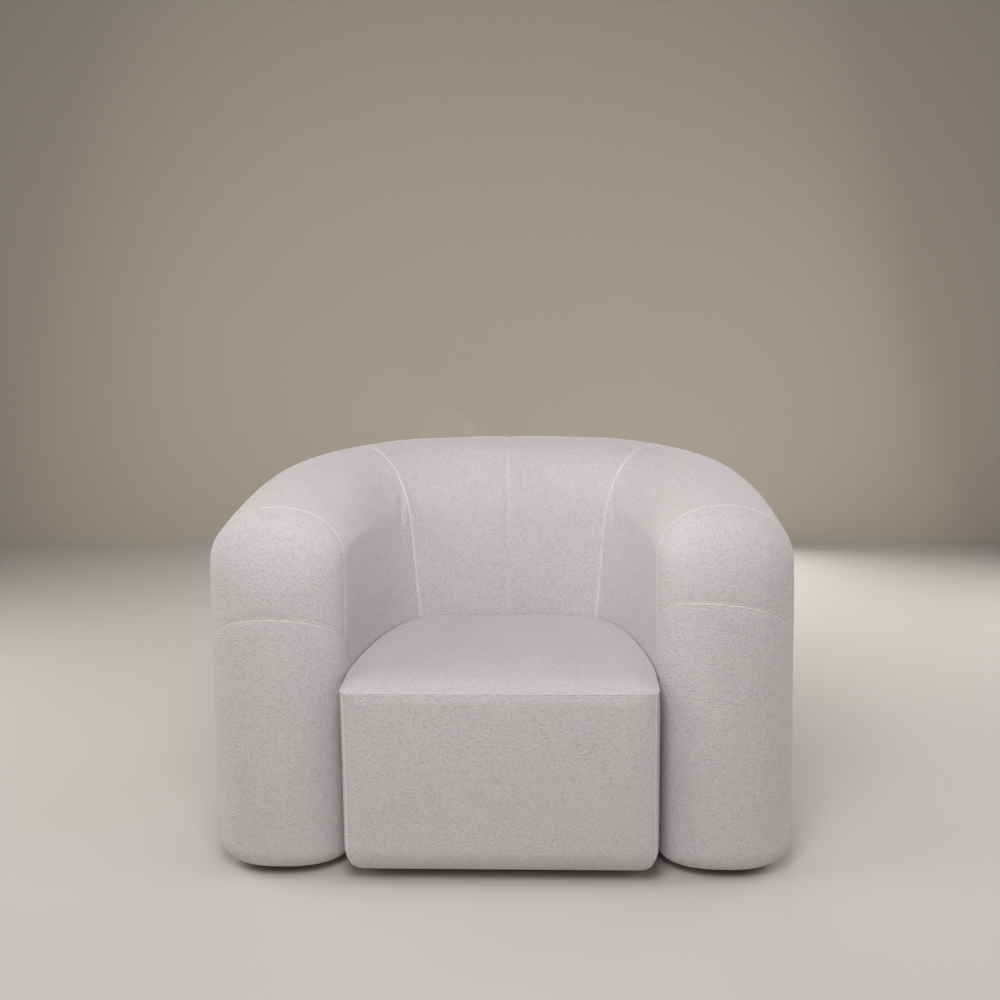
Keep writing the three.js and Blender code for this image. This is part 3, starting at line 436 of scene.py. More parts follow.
def pressed_out(points, pinned, inside_out, closed=False):
    """Where a coarse grid goes when it is pinned at some points and pressed out from inside: Blender's
    cloth, without gravity, for twenty frames."""
    rows, columns = points.shape[:2]
    welded, number = np.unique(points.reshape(-1, 3).round(6), axis=0, return_inverse=True)
    number = number.reshape(-1)
    quads = number[quads_of(rows, columns, close=closed)]
    quads = quads[:, ::-1] if inside_out else quads
    corners = np.concatenate([quads[:, [0, 1, 2]], quads[:, [0, 2, 3]]])
    first, second, third = corners.T
    real = (first != second) & (second != third) & (first != third)
    mesh = bpy.data.meshes.new("fill")
    mesh.from_pydata(welded.tolist(), [], corners[real].tolist())
    cloth = bpy.data.objects.new("fill", mesh)
    bpy.context.scene.collection.objects.link(cloth)
    held = np.zeros(len(welded), bool)
    held[number[pinned.reshape(-1)]] = True
    cloth.vertex_groups.new(name="pins").add(np.flatnonzero(held).tolist(), 1.0, "REPLACE")
    made = cloth.modifiers.new("Cloth", "CLOTH").settings
    made.vertex_group_mass, made.quality, made.mass = "pins", 6, 0.3
    made.tension_stiffness = made.compression_stiffness = made.shear_stiffness = 5
    made.bending_stiffness = 2
    made.use_pressure, made.uniform_pressure_force = True, 6
    made.effector_weights.gravity = 0
    scene = bpy.context.scene
    for step in range(1, FILL_FRAMES + 1):
        scene.frame_set(step)
    after = cloth.evaluated_get(bpy.context.evaluated_depsgraph_get()).to_mesh()
    moved = np.zeros(len(welded) * 3, np.float32)
    after.vertices.foreach_get("co", moved)
    bpy.data.objects.remove(cloth)
    bpy.data.meshes.remove(mesh)
    scene.frame_set(1)
    return moved.reshape(-1, 3)[number].reshape(points.shape)


def filled(points, inside_out, normal, loose, closed=False):
    """How far the foam presses each point of a panel out, along its normal. The movement eases off as it
    nears the cap, by the hyperbolic tangent. loose is 0 where the cloth has to stay."""
    across = lengths(points[:, points.shape[1] // 3])
    over = lengths(points[points.shape[0] // 2])
    rows, columns = picked(across, FILL_STEP), picked(over, FILL_STEP)
    coarse = points[rows][:, columns]
    pinned = np.zeros(coarse.shape[:2], bool)
    pinned[:, 0] = True
    if not closed:
        pinned[:, -1] = pinned[0] = pinned[-1] = True
    moved = pressed_out(coarse, pinned, inside_out, closed) - coarse
    out = (moved * normal[rows][:, columns]).sum(-1)
    out = FILL_CAP * np.tanh(out / FILL_CAP) * loose[rows][:, columns]
    return spline(across[rows], across) @ out @ spline(over[columns], over).T


def relieved(points, away, outward, calm, seed=0):
    """The grid with its seams' relief and the foam's swell, both along its normals. calm fades the swell
    where a panel has to stay clear of its neighbour."""
    normal, inside_out = facing(points, outward)
    fill = filled(points, inside_out, normal, calm)
    most, mean = (fill.max() * 1000).round(1), (fill.mean() * 1000).round(1)
    print("   pressed out by", most, "mm at most,", mean, "mm on average")
    swell = slow_swell(points, seed) * (1 - np.exp(-((away / SWELL_FADE) ** 2))) * calm
    height = seam_relief(away) + swell + fill - FILL_CAP / 2 * calm
    return points + normal * height[..., None], normal, inside_out


print("a seam's relief, 0 to 8 mm away:", (seam_relief(np.arange(9) / 1000) * 1000).round(2))

# %% [markdown]
# ## Cover panels of the wall
#
# Four panels go up the outside, over the crown and down the inside: one for each arm's side and two for the
# back. They meet in the middle of the back and at the two rear corners. Each arm's front has an upper and a
# lower panel, wrapped round it. Every panel is a grid over its own two directions, along the wall and over
# it.

# %% Band panels
SEAM_GAP = 0.0002
FINE_TURNS = np.linspace(0, 1, 2001)
OUTER_ROWS, INNER_ROWS = 92, 90
# The wall's length is measured at PLAN_Z. A flat size is a little larger than the panel, by EASE.
PLAN_Z, EASE = 0.5, 1.02
# Covers don't swell near the floor or beside the seat. The swell starts at these heights and fades in.
CALM_FOOT, SEAT_REACH, CALM_FADE = 0.06, 0.42, 0.08


def hem_shares(rib):
    """Shares of the way under a rib, from the hem's edge to where its side starts, evenly spaced."""
    return spaced(FINE_TURNS * 2, hem_part(rib, FINE_TURNS * 2)[0], (False, False), HEM_STEP)


def upward(length):
    """Shares of the way up a side to its sewn top edge, fine at that edge."""
    line = np.stack([0 * FINE_TURNS, 0 * FINE_TURNS, FINE_TURNS * length], -1)
    return spaced(FINE_TURNS, line, (False, True))[1:]


def band_rows():
    """Shares of the way over the wall, as four lists: under it, up the outside, over the crown, and down
    the inside. They suit every rib, because each list is spaced on its own part."""
    middle = outer_ribs(np.array([CORNER_SEAM]))
    turns = FINE_TURNS * QUARTER
    crowns = spaced(turns, crown_part(middle, turns)[0], (False, False))
    ups, downs = np.linspace(0, 1, OUTER_ROWS)[1:-1], np.linspace(0, 1, INNER_ROWS)[1:]
    return hem_shares(middle), ups, crowns, downs


def band_points(angles, inset=0.0):
    """A panel's grid. For each rib: hem, outside, crown, and then the inside down to its hidden hem."""
    hems, ups, crowns, downs = band_rows()
    out, into = outer_ribs(angles), inner_ribs(angles)
    low = GROUND_GAP + BOTTOM_ROUND
    spring = (out["crown"] - out["round"])[:, None]
    return np.concatenate(
        [
            hem_part(out, hems, inset),
            side_part(out, low + (spring - low) * ups, inset),
            crown_part(out, crowns, inset),
            crown_part(into, crowns[::-1][1:], inset),
            side_part(into, spring + (INNER_HEM - spring) * downs, inset),
        ],
        axis=1,
    )


def band_panel(start, end):
    """A sewn panel of the wall from one cross seam to the next: its grid, its distances from the seams,
    its area, and whether its order is inside out."""
    fine = start + (end - start) * FINE_TURNS
    opening = SEAM_GAP / 2 / SPAN_X
    angles = spaced(fine, side_part(outer_ribs(fine), np.array([PLAN_Z]))[:, 0])
    angles[0], angles[-1] = angles[0] + opening, angles[-1] - opening
    plain = band_points(angles)
    from_start = along(plain, 0)
    away = np.minimum(from_start, from_start[-1] - from_start)
    inner = np.arange(plain.shape[1]) > plain.shape[1] / 2
    z = plain[..., 2]
    calm = ramp(z, np.where(inner, SEAT_REACH, CALM_FOOT), CALM_FADE)
    grid, normal, inside_out = relieved(plain, away, plain - band_points(angles, COVER), calm)
    grid, away = turned_in(grid, normal, away, [(0, False), (0, True)])
    return grid, away, area_of(plain), inside_out


def whole(size):
    """A flat size in whole millimetres."""
    return tuple(round(float(length), 3) for length in size[:2])


def add_panel(name, panel, mirror=False):
    """Adds a panel as a sheet of cloth. A mirrored panel is the same grid on the other side."""
    grid, away, area, inside_out = panel
    if mirror:
        grid = grid * np.array([-1, 1, 1])
    quads = quads_of(*grid.shape[:2])
    piece = new_piece(name + "_cloth", grid.reshape(-1, 3), quads, away, inside_out != mirror)
    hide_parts(name)
    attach(piece, "root")
    width = max(lengths(line)[-1] for line in (grid[:, grid.shape[1] // 3], grid[:, grid.shape[1] // 2]))
    length = lengths(grid[len(grid) // 2])[-1]
    scale = max(1.0, area / (width * length)) ** 0.5 * EASE
    flat = whole((width * scale, length * scale))
    print(name, "cut", flat, "m, area", round(area, 3), "m2,", len(piece.data.polygons), "faces")


def add_pair(name, panel):
    """The same panel on both sides of the chair."""
    for side in ("left", "right"):
        add_panel(f"{side}_{name}", panel, mirror=side == "right")


add_pair("arm_side_cover", band_panel(0, CORNER_SEAM))
add_pair("back_cover", band_panel(CORNER_SEAM, QUARTER))

# %% [markdown]
# ## The fronts of the arms
#
# Each arm ends in an upright, slightly squared half round. A low seam runs round it, and not at the same
# height on the two arms, as on the real chair, so the right one isn't a mirror image. The upper panel closes
# over the top in a pole, which lies on the cross seam. Its distance from that seam is simply how far it is
# in front of it.

# %% Arm front panels
# Beside the seat an arm's front swells only outside FREE_X, or higher up than FREE_Z.
FREE_X, FREE_X_FADE, FREE_Z, FREE_Z_FADE = 0.326, 0.03, 0.43, 0.06
NOSE_FRONT = nose_ribs(np.array([QUARTER]))
NOSE_SIDE = 0.45


def low_seam_at(turn, side):
    """Height of the low seam round the arm: highest in front, falling with the sine, and tipped by the
    cosine."""
    front, tilt = LOW_SEAM[side]
    return front - LOW_SEAM_DROP * (1 - np.sin(turn)) - tilt * np.cos(turn)


def nose_turns():
    """Turns round the arm's front, fine at both ends, where the cross seam is."""
    fine = FINE_TURNS * math.pi
    return spaced(fine, side_part(nose_ribs(fine), np.array([PLAN_Z]))[:, 0])


def nose_lower(side):
    """Hem, quarter round and side, up to the low seam, for each turn."""
    turns = nose_turns()
    ribs = nose_ribs(turns)
    top = low_seam_at(turns, side)[:, None] - SEAM_GAP / 2
    low = GROUND_GAP + ribs["foot"][:, None]
    side_rows = low + (top - low) * upward(NOSE_SIDE)
    return np.concatenate([hem_part(ribs, hem_shares(NOSE_FRONT)), side_part(ribs, side_rows)], 1)


def nose_upper(side):
    """From the low seam up the side and over to the pole, for each turn. The rows follow the share of the
    way from the seam to the pole, measured along the rib."""
    turns = nose_turns()
    ribs = nose_ribs(turns)
    seam = low_seam_at(turns, side) + SEAM_GAP / 2
    spring = ribs["crown"] - ribs["round"]
    straight = np.maximum(spring - seam, 0)
    share = np.clip((seam - spring) / ribs["round"], 0, 1)
    first = np.arcsin(share ** (ribs["power"] / 2))
    sides = np.linspace(0, 1, 801)
    line = np.concatenate(
        [
            side_part(ribs, seam[:, None] + straight[:, None] * sides[None, :-1]),
            crown_part(ribs, first[:, None] + (QUARTER - first)[:, None] * sides),
        ],
        axis=1,
    )
    front = line[len(turns) // 2]
    rows = spaced(lengths(front) / lengths(front)[-1], front, (True, True))
    return resampled(line, rows)


def nose_panel(side, upper):
    """One panel of an arm's front, with its distances from the cross seam and from the low seam."""
    plain = nose_upper(side) if upper else nose_lower(side)
    over = along(plain, 1)
    to_low = over if upper else over[:, -1:] - over
    round_it = along(plain, 0)
    to_cross = NOSE_Y - plain[..., 1] if upper else np.minimum(round_it, round_it[-1] - round_it)
    away = np.minimum(to_low, np.maximum(to_cross, 0))
    x, z = plain[..., 0], plain[..., 2]
    free = np.maximum(ramp(-x, FREE_X, FREE_X_FADE), ramp(z, FREE_Z, FREE_Z_FADE))
    calm = ramp(z, CALM_FOOT, CALM_FADE) * free
    outward = plain * [1, 1, 0.2] - [-SPAN_X, NOSE_Y, 0]
    grid, normal, inside_out = relieved(plain, away, outward, calm, seed=1 + upper)
    grid, away = turned_in(grid, normal, away, [(0, False), (0, True), (1, not upper)])
    return grid, away, area_of(plain), inside_out


for side in ("left", "right"):
    for part, upper in (("lower", False), ("upper", True)):
        name = f"{side}_arm_front_{part}_cover"
        add_panel(name, nose_panel(side, upper), mirror=side == "right")

# %% [markdown]
# ## The seat
#
# The seat is one block: a top panel with a soft roll at its edge, a front panel, and a panel down each
# side. The side panels are sewn to the front one in an upright seam at each front corner. Behind the arm
# fronts they only hang down a little, because nothing of them shows.

# %% The seat in plan
FRONT_STEPS, CORNER_STEPS, FLANK_STEPS = 299, 120, 138
CORNER_CENTRE = np.array([-SEAT_HALF + SEAT_CORNER, FRONT_Y + SEAT_CORNER])


def seat_line():
    """Places round half the seat, from the middle of its front to the middle of its back, and the way each
    faces: a straight front, a round corner, a straight side, and then the inner face of the wall."""
    along_front = np.linspace(0, CORNER_CENTRE[0], FRONT_STEPS + 1)[:-1]
    front = np.stack([along_front, np.full(FRONT_STEPS, FRONT_Y)], -1)
    turn = np.linspace(0, QUARTER, CORNER_STEPS)
    corner_out = np.stack([-np.sin(turn), -np.cos(turn)], -1)
    corner = CORNER_CENTRE + SEAT_CORNER * corner_out
    ys = np.linspace(CORNER_CENTRE[1], NOSE_Y, FLANK_STEPS + 2)[1:-1]
    flank = np.stack([np.full(FLANK_STEPS, -SEAT_HALF), ys], -1)
    ribs = inner_ribs(np.linspace(0, QUARTER, 900))
    back = ribs["centre"] + ribs["out"] * (HALF + ribs["lean"] + SEAT_GAP)[:, None]
    out = np.concatenate(
        [
            np.tile([0.0, -1.0], (FRONT_STEPS, 1)),
            corner_out,
            np.tile([-1.0, 0.0], (FLANK_STEPS, 1)),
            -ribs["out"],
        ]
    )
    return np.concatenate([front, corner, flank, back]), out


SEAT_LINE, SEAT_OUT = seat_line()
SEAT_AT = lengths(SEAT_LINE)


def seat_places(at):
    """Places and ways out at distances along the half loop, by interpolation."""
    place = np.stack([np.interp(at, SEAT_AT, SEAT_LINE[:, k]) for k in range(2)], -1)
    out = np.stack([np.interp(at, SEAT_AT, SEAT_OUT[:, k]) for k in range(2)], -1)
    return place, out / np.linalg.norm(out, axis=-1, keepdims=True)


CORNER_LAST = FRONT_STEPS + CORNER_STEPS - 1
FLANK_LAST = CORNER_LAST + FLANK_STEPS
CORNER_START, CORNER_END = SEAT_AT[FRONT_STEPS], SEAT_AT[CORNER_LAST]
CORNER_AT = (CORNER_START + CORNER_END) / 2
print("half the seat's seam", round(float(SEAT_AT[-1]), 3), "m")


# %% The seat's side panels
# The seat's front and side covers swell only near the chair's front, farther out than SWELL_Y.
SWELL_Y, SWELL_Y_FADE, SEAT_CALM_FADE = 0.35, 0.03, 0.06
REAR_GAP = 0.0004


def taper_at(z):
    """How much narrower the seat is at a height than at its seam."""
    return SEAT_TAPER * np.clip(1 - (z - GROUND_GAP) / (SEAT_SEAM - GROUND_GAP), 0, 1)


def drawn_in(at, place, out, inward):
    """Places moved inwards. In the front corner they draw together on its centre, and beyond that the
    outline is a sharp corner, whose two sides end on the mitre between them."""
    flat = place[:, None] - out[:, None] * inward[None, :, None]
    corner = ((at > CORNER_START) & (at < CORNER_END))[:, None]
    deeper = np.maximum(inward - SEAT_CORNER, 0)[None]
    past = (corner & (deeper > 0))[..., None]
    flat = np.where(past, CORNER_CENTRE + deeper[..., None], flat)
    over = flat - CORNER_CENTRE
    front = (at <= CORNER_START)[:, None]
    flank = ((at >= CORNER_END) & (place[:, 1] < NOSE_Y))[:, None]
    x = np.where(front, np.maximum(over[..., 0], deeper), over[..., 0])
    y = np.where(flank, np.maximum(over[..., 1], deeper), over[..., 1])
    return CORNER_CENTRE + np.stack([x, y], -1)


def at_heights(flat, z):
    """A grid's places in plan, with a height for each of its rows."""
    return np.concatenate([flat, np.broadcast_to(z, flat.shape[:2])[..., None]], -1)


def border_rows(at, place, out):
    """Up the seat's side, from below: hem, quarter round, and the side up to the seam."""
    hems = hem_shares(NOSE_FRONT)
    turn = np.clip(hems - 1, 0, 1) * QUARTER
    reach = SEAT_BOTTOM_ROUND * (1 - np.sin(turn)) + HEM * np.clip(1 - hems, 0, 1)
    low = GROUND_GAP + SEAT_BOTTOM_ROUND
    high = low + (SEAT_SEAM - SEAM_GAP / 2 - low) * upward(SEAT_SEAM - low)
    z = np.concatenate([GROUND_GAP + SEAT_BOTTOM_ROUND * (1 - np.cos(turn)), high])
    return at_heights(drawn_in(at, place, out, np.concatenate([reach, 0 * high]) + taper_at(z)), z)


def seat_border(start, end, seams, hidden=False):
    """A panel down the side of the seat between two places on its loop, which are less than 0 on the
    right. A hidden panel changes, behind the arm's front, to one that hangs straight and ends early."""
    fine = np.linspace(start, end, 3001)
    place, _ = seat_places(np.abs(fine))
    line = np.stack([np.where(fine < 0, -1, 1) * place[:, 0], place[:, 1], 0 * fine], -1)
    signed = spaced(fine, line, seams)
    at = np.abs(signed)
    place, out = seat_places(at)
    grid = border_rows(at, place, out)
    outward = np.concatenate([out, 0 * out[:, :1]], -1)[:, None] + 0 * grid
    if hidden:
        share = along(grid, 1)[0]
        z = SEAT_INNER_HEM + (grid[:, -1:, 2] - SEAT_INNER_HEM) * share / share[-1]
        straight = np.concatenate([place[:, None] + 0 * grid[..., :2], z[..., None]], -1)
        part = ramp(place[:, 1], NOSE_Y, HEM)[:, None, None]
        grid = grid + (straight - grid) * part * part * (3 - 2 * part)
    sign = np.stack([np.where(signed < 0, -1.0, 1.0), 1 + 0 * at, 1 + 0 * at], -1)[:, None]
    return grid * sign, outward * sign


def seat_panel(start, end, seams, hidden=False):
    """A sewn panel down the side of the seat."""
    plain, outward = seat_border(start, end, seams, hidden)
    up, across = along(plain, 1), along(plain, 0)
    away = up[:, -1:] - up
    if seams[0]:
        away = np.minimum(away, across)
    if seams[1]:
        away = np.minimum(away, across[-1] - across)
    near_front = ramp(-plain[..., 1], SWELL_Y, SWELL_Y_FADE)
    calm = ramp(plain[..., 2], CALM_FOOT, SEAT_CALM_FADE) * near_front
    grid, normal, inside_out = relieved(plain, away, outward, calm, seed=4)
    edges = [(1, True)] + [(0, last) for last in (False, True) if seams[int(last)]]
    grid, away = turned_in(grid, normal, away, edges)
    return grid, away, area_of(plain), inside_out


gap = SEAM_GAP / 2
front_panel = seat_panel(-CORNER_AT + gap, CORNER_AT - gap, (True, True))
side_panel = seat_panel(CORNER_AT + gap, float(SEAT_AT[-1]) - REAR_GAP, (True, False), hidden=True)
add_panel("seat_front_cover", front_panel)
add_pair("seat_side_cover", side_panel)

# %% [markdown]
# ## The seat's top
#
# The top panel runs from its seam round the whole seat, over a soft roll, to the middle. Rows that draw
# together on the middle of the seat keep the seam's outline and lose it gently. A flat grid cut to the
# outline would need stray triangles all along the edge.

# %% Top panel
def top_rows(inset=0.0, seam=SEAT_SEAM + SEAM_GAP / 2, coarse=COARSE, sewn=True):
    """Rows from the seam to the middle of the seat, for each place round the loop. A place goes towards the
    middle by a share, and rises by a steep root of that share, so that the edge rolls over."""
    fine = np.linspace(0, float(SEAT_AT[-1]), 6001)
    place, _ = seat_places(fine)
    at = spaced(fine, np.stack([place[:, 0], place[:, 1], 0 * fine], -1), (False, False), coarse)
    place, out = seat_places(at)
    place = place - out * inset
    place = np.concatenate([place, (place * [-1, 1])[-2:0:-1]])
    height = SEAT_HEIGHT - inset - seam
    shares = np.linspace(0, 1, 4001) ** 2
    rise = height * np.sqrt(1 - (1 - shares) ** SEAT_ROLL_POWER)
    sample = np.stack([shares * 0.4, 0 * shares, rise], -1)
    rows = spaced(shares, sample, (sewn, False), coarse)
    rise = height * np.sqrt(1 - (1 - rows) ** SEAT_ROLL_POWER)
    return at_heights(place[:, None] + (SEAT_MIDDLE - place[:, None]) * rows[None, :, None], seam + rise)


def closed_facing(points):
    """Upward unit normals of a grid that is closed along its first axis and ends in one point."""
    normal, inside_out = facing(np.concatenate([points[-2:], points, points[:2]]), np.array([0, 0, 1]))
    normal = normal[2:-2]
    normal[:, -1] = (0, 0, 1)
    return normal, inside_out


TOP_FILL_FADE, TOP_SWELL_FADE = 0.02, 0.05
plain = top_rows()
top_away = along(plain, 1)
top_normal, top_order = closed_facing(plain)
loose = ramp(top_away, 0, TOP_FILL_FADE)
swell = slow_swell(plain, seed=3) * ramp(top_away, 0, TOP_SWELL_FADE)
fill = filled(plain, top_order, top_normal, loose, closed=True) - FILL_CAP / 2 * loose
grid = plain + top_normal * (seam_relief(top_away) + swell + fill)[..., None]
grid, top_away = turned_in(grid, top_normal, top_away, [(1, False)])
top_cloth = new_piece(
    "seat_top_cover_cloth",
    grid.reshape(-1, 3),
    quads_of(*grid.shape[:2], close=True),
    top_away,
    top_order,
)
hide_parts("seat_top_cover")
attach(top_cloth, "root")
top_area = area_of(np.concatenate([plain, plain[:1]]))

# %% [markdown]
# ## Foam under the cloth
#
# The wall's foam is moulded, and hollow where the frame stands. It takes the cover's own formula, set in by
# a little more than the cloth's thickness, so it fills the cover evenly. Each block is a closed shell
# between an outer grid and the hollow's grid. Foam is only seen with a cover off and has no seams, so its
# grid is coarse.

# %% Closed shells
FOAM_INSET, HOLLOW_HALF, CROWN_FOAM = 0.0066, 0.089, 0.092
FOAM_ROWS = 20


def add_block(name, points, quads, form="padded", slot="foam", fill=0.9, **cloth):
    """A closed piece from points and quads, with its faces turned outwards after its doubles are merged."""
    piece = new_piece(f"{name}_block" if form == "padded" else f"{name}_cloth", points, quads)
    shape = bmesh.new()
    shape.from_mesh(piece.data)
    bmesh.ops.recalc_face_normals(shape, faces=shape.faces)
    open_edges = sum(not edge.is_manifold for edge in shape.edges)
    shape.to_mesh(piece.data)
    shape.free()
    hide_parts(name)
    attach(piece, "root")
    form == "padded"
    print(name, len(piece.data.polygons), "faces,", open_edges, "open edges")


def shell_quads(columns, rows, close_top=True):
    """Faces between two grids of the same size, numbered one after the other: both grids, the rim along
    the first row, the rim along the last row, and the two ends."""
    outer = np.arange(columns * rows).reshape(columns, rows)
    inner = outer + columns * rows
    strips = [quads_of(columns, rows), quads_of(columns, rows, columns * rows)[:, ::-1]]
    rims = [(outer[:, 0], inner[:, 0]), (outer[0], inner[0]), (outer[-1], inner[-1])]
    if close_top:
        rims.append((outer[:, -1], inner[:, -1]))
    strips += [np.stack([a[:-1], a[1:], b[1:], b[:-1]], -1) for a, b in rims]
    return np.concatenate(strips)


def add_shell(name, outer, inner, close_top=True, **settings):
    """A closed piece between an outer and an inner grid."""
    points = np.concatenate([outer.reshape(-1, 3), inner.reshape(-1, 3)])
    add_block(name, points, shell_quads(*outer.shape[:2], close_top), **settings)


def add_shell_pair(name, outer, inner, close_top=True):
    """The same shell on both sides of the chair."""
    for side, across in (("left", 1), ("right", -1)):
        add_shell(f"{side}_{name}", outer * [across, 1, 1], inner * [across, 1, 1], close_top)


def foam_side(ribs, low, rows=FOAM_ROWS):
    """Rows of a foam side up to the crown: the side's heights, then its rounded top."""
    spring = (ribs["crown"] - ribs["round"])[:, None]
    side = side_part(ribs, low + (spring - low) * np.linspace(0, 1, rows)[:-1], FOAM_INSET)
    return np.concatenate([side, crown_part(ribs, np.linspace(0, QUARTER, FOAM_ROWS), FOAM_INSET)], 1)


def foam_outer(ribs):
    """The same over the quarter round at the floor."""
    under = hem_part(ribs, np.linspace(1, 2, 8)[:-1], FOAM_INSET)
    return np.concatenate([under, foam_side(ribs, GROUND_GAP + ribs["foot"][:, None])], 1)


def hollow_beside(ribs, foam):
    """The hollow beside each foam point: straight up at a set half width to a shoulder, then over the
    frame by a quarter of an ellipse."""
    rows = foam.shape[1]
    shoulder = (ribs["crown"] - CROWN_FOAM)[:, None] - HOLLOW_HALF / 2
    turn = np.clip((np.arange(rows) - (rows - FOAM_ROWS)) / (FOAM_ROWS - 1), 0, 1) * QUARTER
    low = np.arange(rows) < rows - FOAM_ROWS
    z = np.where(low, np.minimum(foam[..., 2], shoulder), shoulder + HOLLOW_HALF / 2 * np.sin(turn))
    offset = np.where(np.arange(rows) == rows - 1, 0, HOLLOW_HALF * np.cos(turn))
    return rib_points(ribs, np.broadcast_to(offset, z.shape), z)


def wall_foam(start, end):
    """A block of the wall's foam between two angles, and its hollow: outside, crown and inside."""
    angles = np.linspace(start, end, max(12, int(abs(end - start) * 50)))
    out, into = outer_ribs(angles), inner_ribs(angles)
    outer, inner = foam_outer(out), foam_side(into, INNER_HEM)
    shape = np.concatenate([outer, inner[:, ::-1][:, 1:]], 1)
    hollow = np.concatenate([hollow_beside(out, outer), hollow_beside(into, inner)[:, ::-1][:, 1:]], 1)
    return shape, hollow


# Angles along the wall at which its foam is cut into blocks.
ARM_FOAM_START, ARM_FOAM_END, CORNER_FOAM_END, FOAM_SPLIT = 0.02, 0.3747, 1.2785, 0.0013
corner_block, corner_hollow = wall_foam(ARM_FOAM_END + FOAM_SPLIT, CORNER_FOAM_END)
add_shell_pair("corner_foam", corner_block, corner_hollow)
back_start = CORNER_FOAM_END + FOAM_SPLIT
add_shell("back_foam", *wall_foam(back_start, math.pi - back_start))

# %% Arm foam
def arm_foam():
    """The arm's block: inner side, round the front and back along the outer side, from the floor or the
    hidden hem up to the crown, where the two sides meet."""
    sides = np.linspace(ARM_FOAM_START, ARM_FOAM_END, 14)
    into, out = inner_ribs(sides[::-1]), outer_ribs(sides)
    nose = nose_ribs(np.linspace(math.pi, 0, 40))
    grids = [foam_side(into, INNER_HEM, FOAM_ROWS + 7), foam_outer(nose), foam_outer(out)]
    hollows = [hollow_beside(ribs, grid) for ribs, grid in zip((into, nose, out), grids)]
    return np.concatenate(grids), np.concatenate(hollows)


add_shell_pair("arm_foam", *arm_foam(), close_top=False)

# %% [markdown]
# ## Foam, felt and cloth of the seat
#
# The seat's block is flat underneath, where it lies on a felt pad, and has the cover's shape on top. Thin
# pads fill out the covers lower down, between them and the plywood box. A dust cloth closes the underside
# and is cut round the feet.

# %% Seat foam and its pads
PAD_GAP, BOX_INSET = 0.0006, 0.074
PAD_PAST_CORNER = np.array([0.012, 0.0244])
BOX_FRONT_Y = FRONT_Y + SEAT_BOTTOM_ROUND + SEAT_TAPER + PAD_GAP
BOX_HALF = SEAT_HALF - BOX_INSET
PAD_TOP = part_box("seat_front_pad")[1][2]
seat_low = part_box("seat_foam")[0][2]
top = top_rows(FOAM_INSET, SEAT_SEAM, 0.014, False)
foot = top[:, :1] * [1, 1, 0] + [0, 0, seat_low]
under = np.concatenate([foot * [0, 0, 1] + [*SEAT_MIDDLE, 0], foot], 1)
block = np.concatenate([under, top], 1)
add_block("seat_foam", block.reshape(-1, 3), quads_of(*block.shape[:2], close=True))


def pad_side(at, inset=FOAM_INSET):
    """Rows of a lower pad's outer face: the quarter round at the floor and the side above it."""
    place, out = seat_places(at)
    turn = np.linspace(0, QUARTER, 9)
    radius = SEAT_BOTTOM_ROUND - inset
    reach = SEAT_BOTTOM_ROUND - radius * np.sin(turn)
    z = GROUND_GAP + SEAT_BOTTOM_ROUND - radius * np.cos(turn)
    high = np.linspace(GROUND_GAP + SEAT_BOTTOM_ROUND, PAD_TOP, 18)[1:]
    z, reach = np.concatenate([z, high]), np.concatenate([reach, inset + 0 * high])
    return at_heights(drawn_in(at, place, out, reach + taper_at(z)), z)


front_at = np.linspace(0, CORNER_START, 24)[:-1]
corner_at = np.linspace(CORNER_START, CORNER_END, 12)
left_half = pad_side(np.concatenate([front_at, corner_at, CORNER_END + PAD_PAST_CORNER]))
front = np.concatenate([(left_half * [-1, 1, 1])[:0:-1], left_half])
plane = BOX_FRONT_Y - PAD_GAP
front[..., 1] = np.minimum(front[..., 1], plane)
back = front.copy()
back[..., 1] = plane
add_shell("seat_front_pad", front, back)

flank = slice(CORNER_LAST, FLANK_LAST)
side_start = np.interp(BOX_FRONT_Y, SEAT_LINE[flank, 1], SEAT_AT[flank])
side_pad = pad_side(np.linspace(side_start, SEAT_AT[FLANK_LAST], 14))
side_pad[..., 0] = np.minimum(side_pad[..., 0], -BOX_HALF - PAD_GAP)
side_back = side_pad.copy()
side_back[..., 0] = -BOX_HALF - PAD_GAP
add_shell_pair("seat_side_pad", side_pad, side_back)

# %% Felt pad
# Its half thickness in shares of the solid's: so much at the rim, and so much more inside it.
RIM_SHARE, BODY_SHARE = 0.55, 0.4
FELT_EDGE, FELT_LUMPS = 0.003, 0.3
low, high = (np.array(corner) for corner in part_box("spring_pad"))
across, deep = np.meshgrid(np.linspace(-1, 1, 70), np.linspace(-1, 1, 64), indexing="ij")
edge = np.minimum(1 - np.abs(across), 1 - np.abs(deep)) * 0.25
soft = np.sqrt(ramp(edge, 0, FELT_EDGE))
middle, reach = (low + high) / 2, (high - low) / 2
felt_top = np.stack([middle[0] + reach[0] * across, middle[1] + reach[1] * deep], -1)
lumps = slow_swell(np.concatenate([felt_top * 3, 0 * across[..., None]], -1), seed=8) * FELT_LUMPS
thick = reach[2] * (RIM_SHARE + BODY_SHARE * soft) + lumps * soft
felt_faces = [np.concatenate([felt_top, (middle[2] + s * thick)[..., None]], -1) for s in (1, -1)]
add_shell(
    "spring_pad",
    *felt_faces,
    form="sheet",
    slot="felt",
    flat=whole(high - low),
    held="laid",
    rests_on=[f"spring_{k}" for k in range(1, 6)],
)

# %% [markdown]
# ## The dust cloth
#
# A thin black cloth is stapled under the chair. Its outline follows the wall and the seat, and it has a
# round hole for each foot. No simple grid has that outline, so an even field of points is joined into
# triangles that respect the outline and the holes.

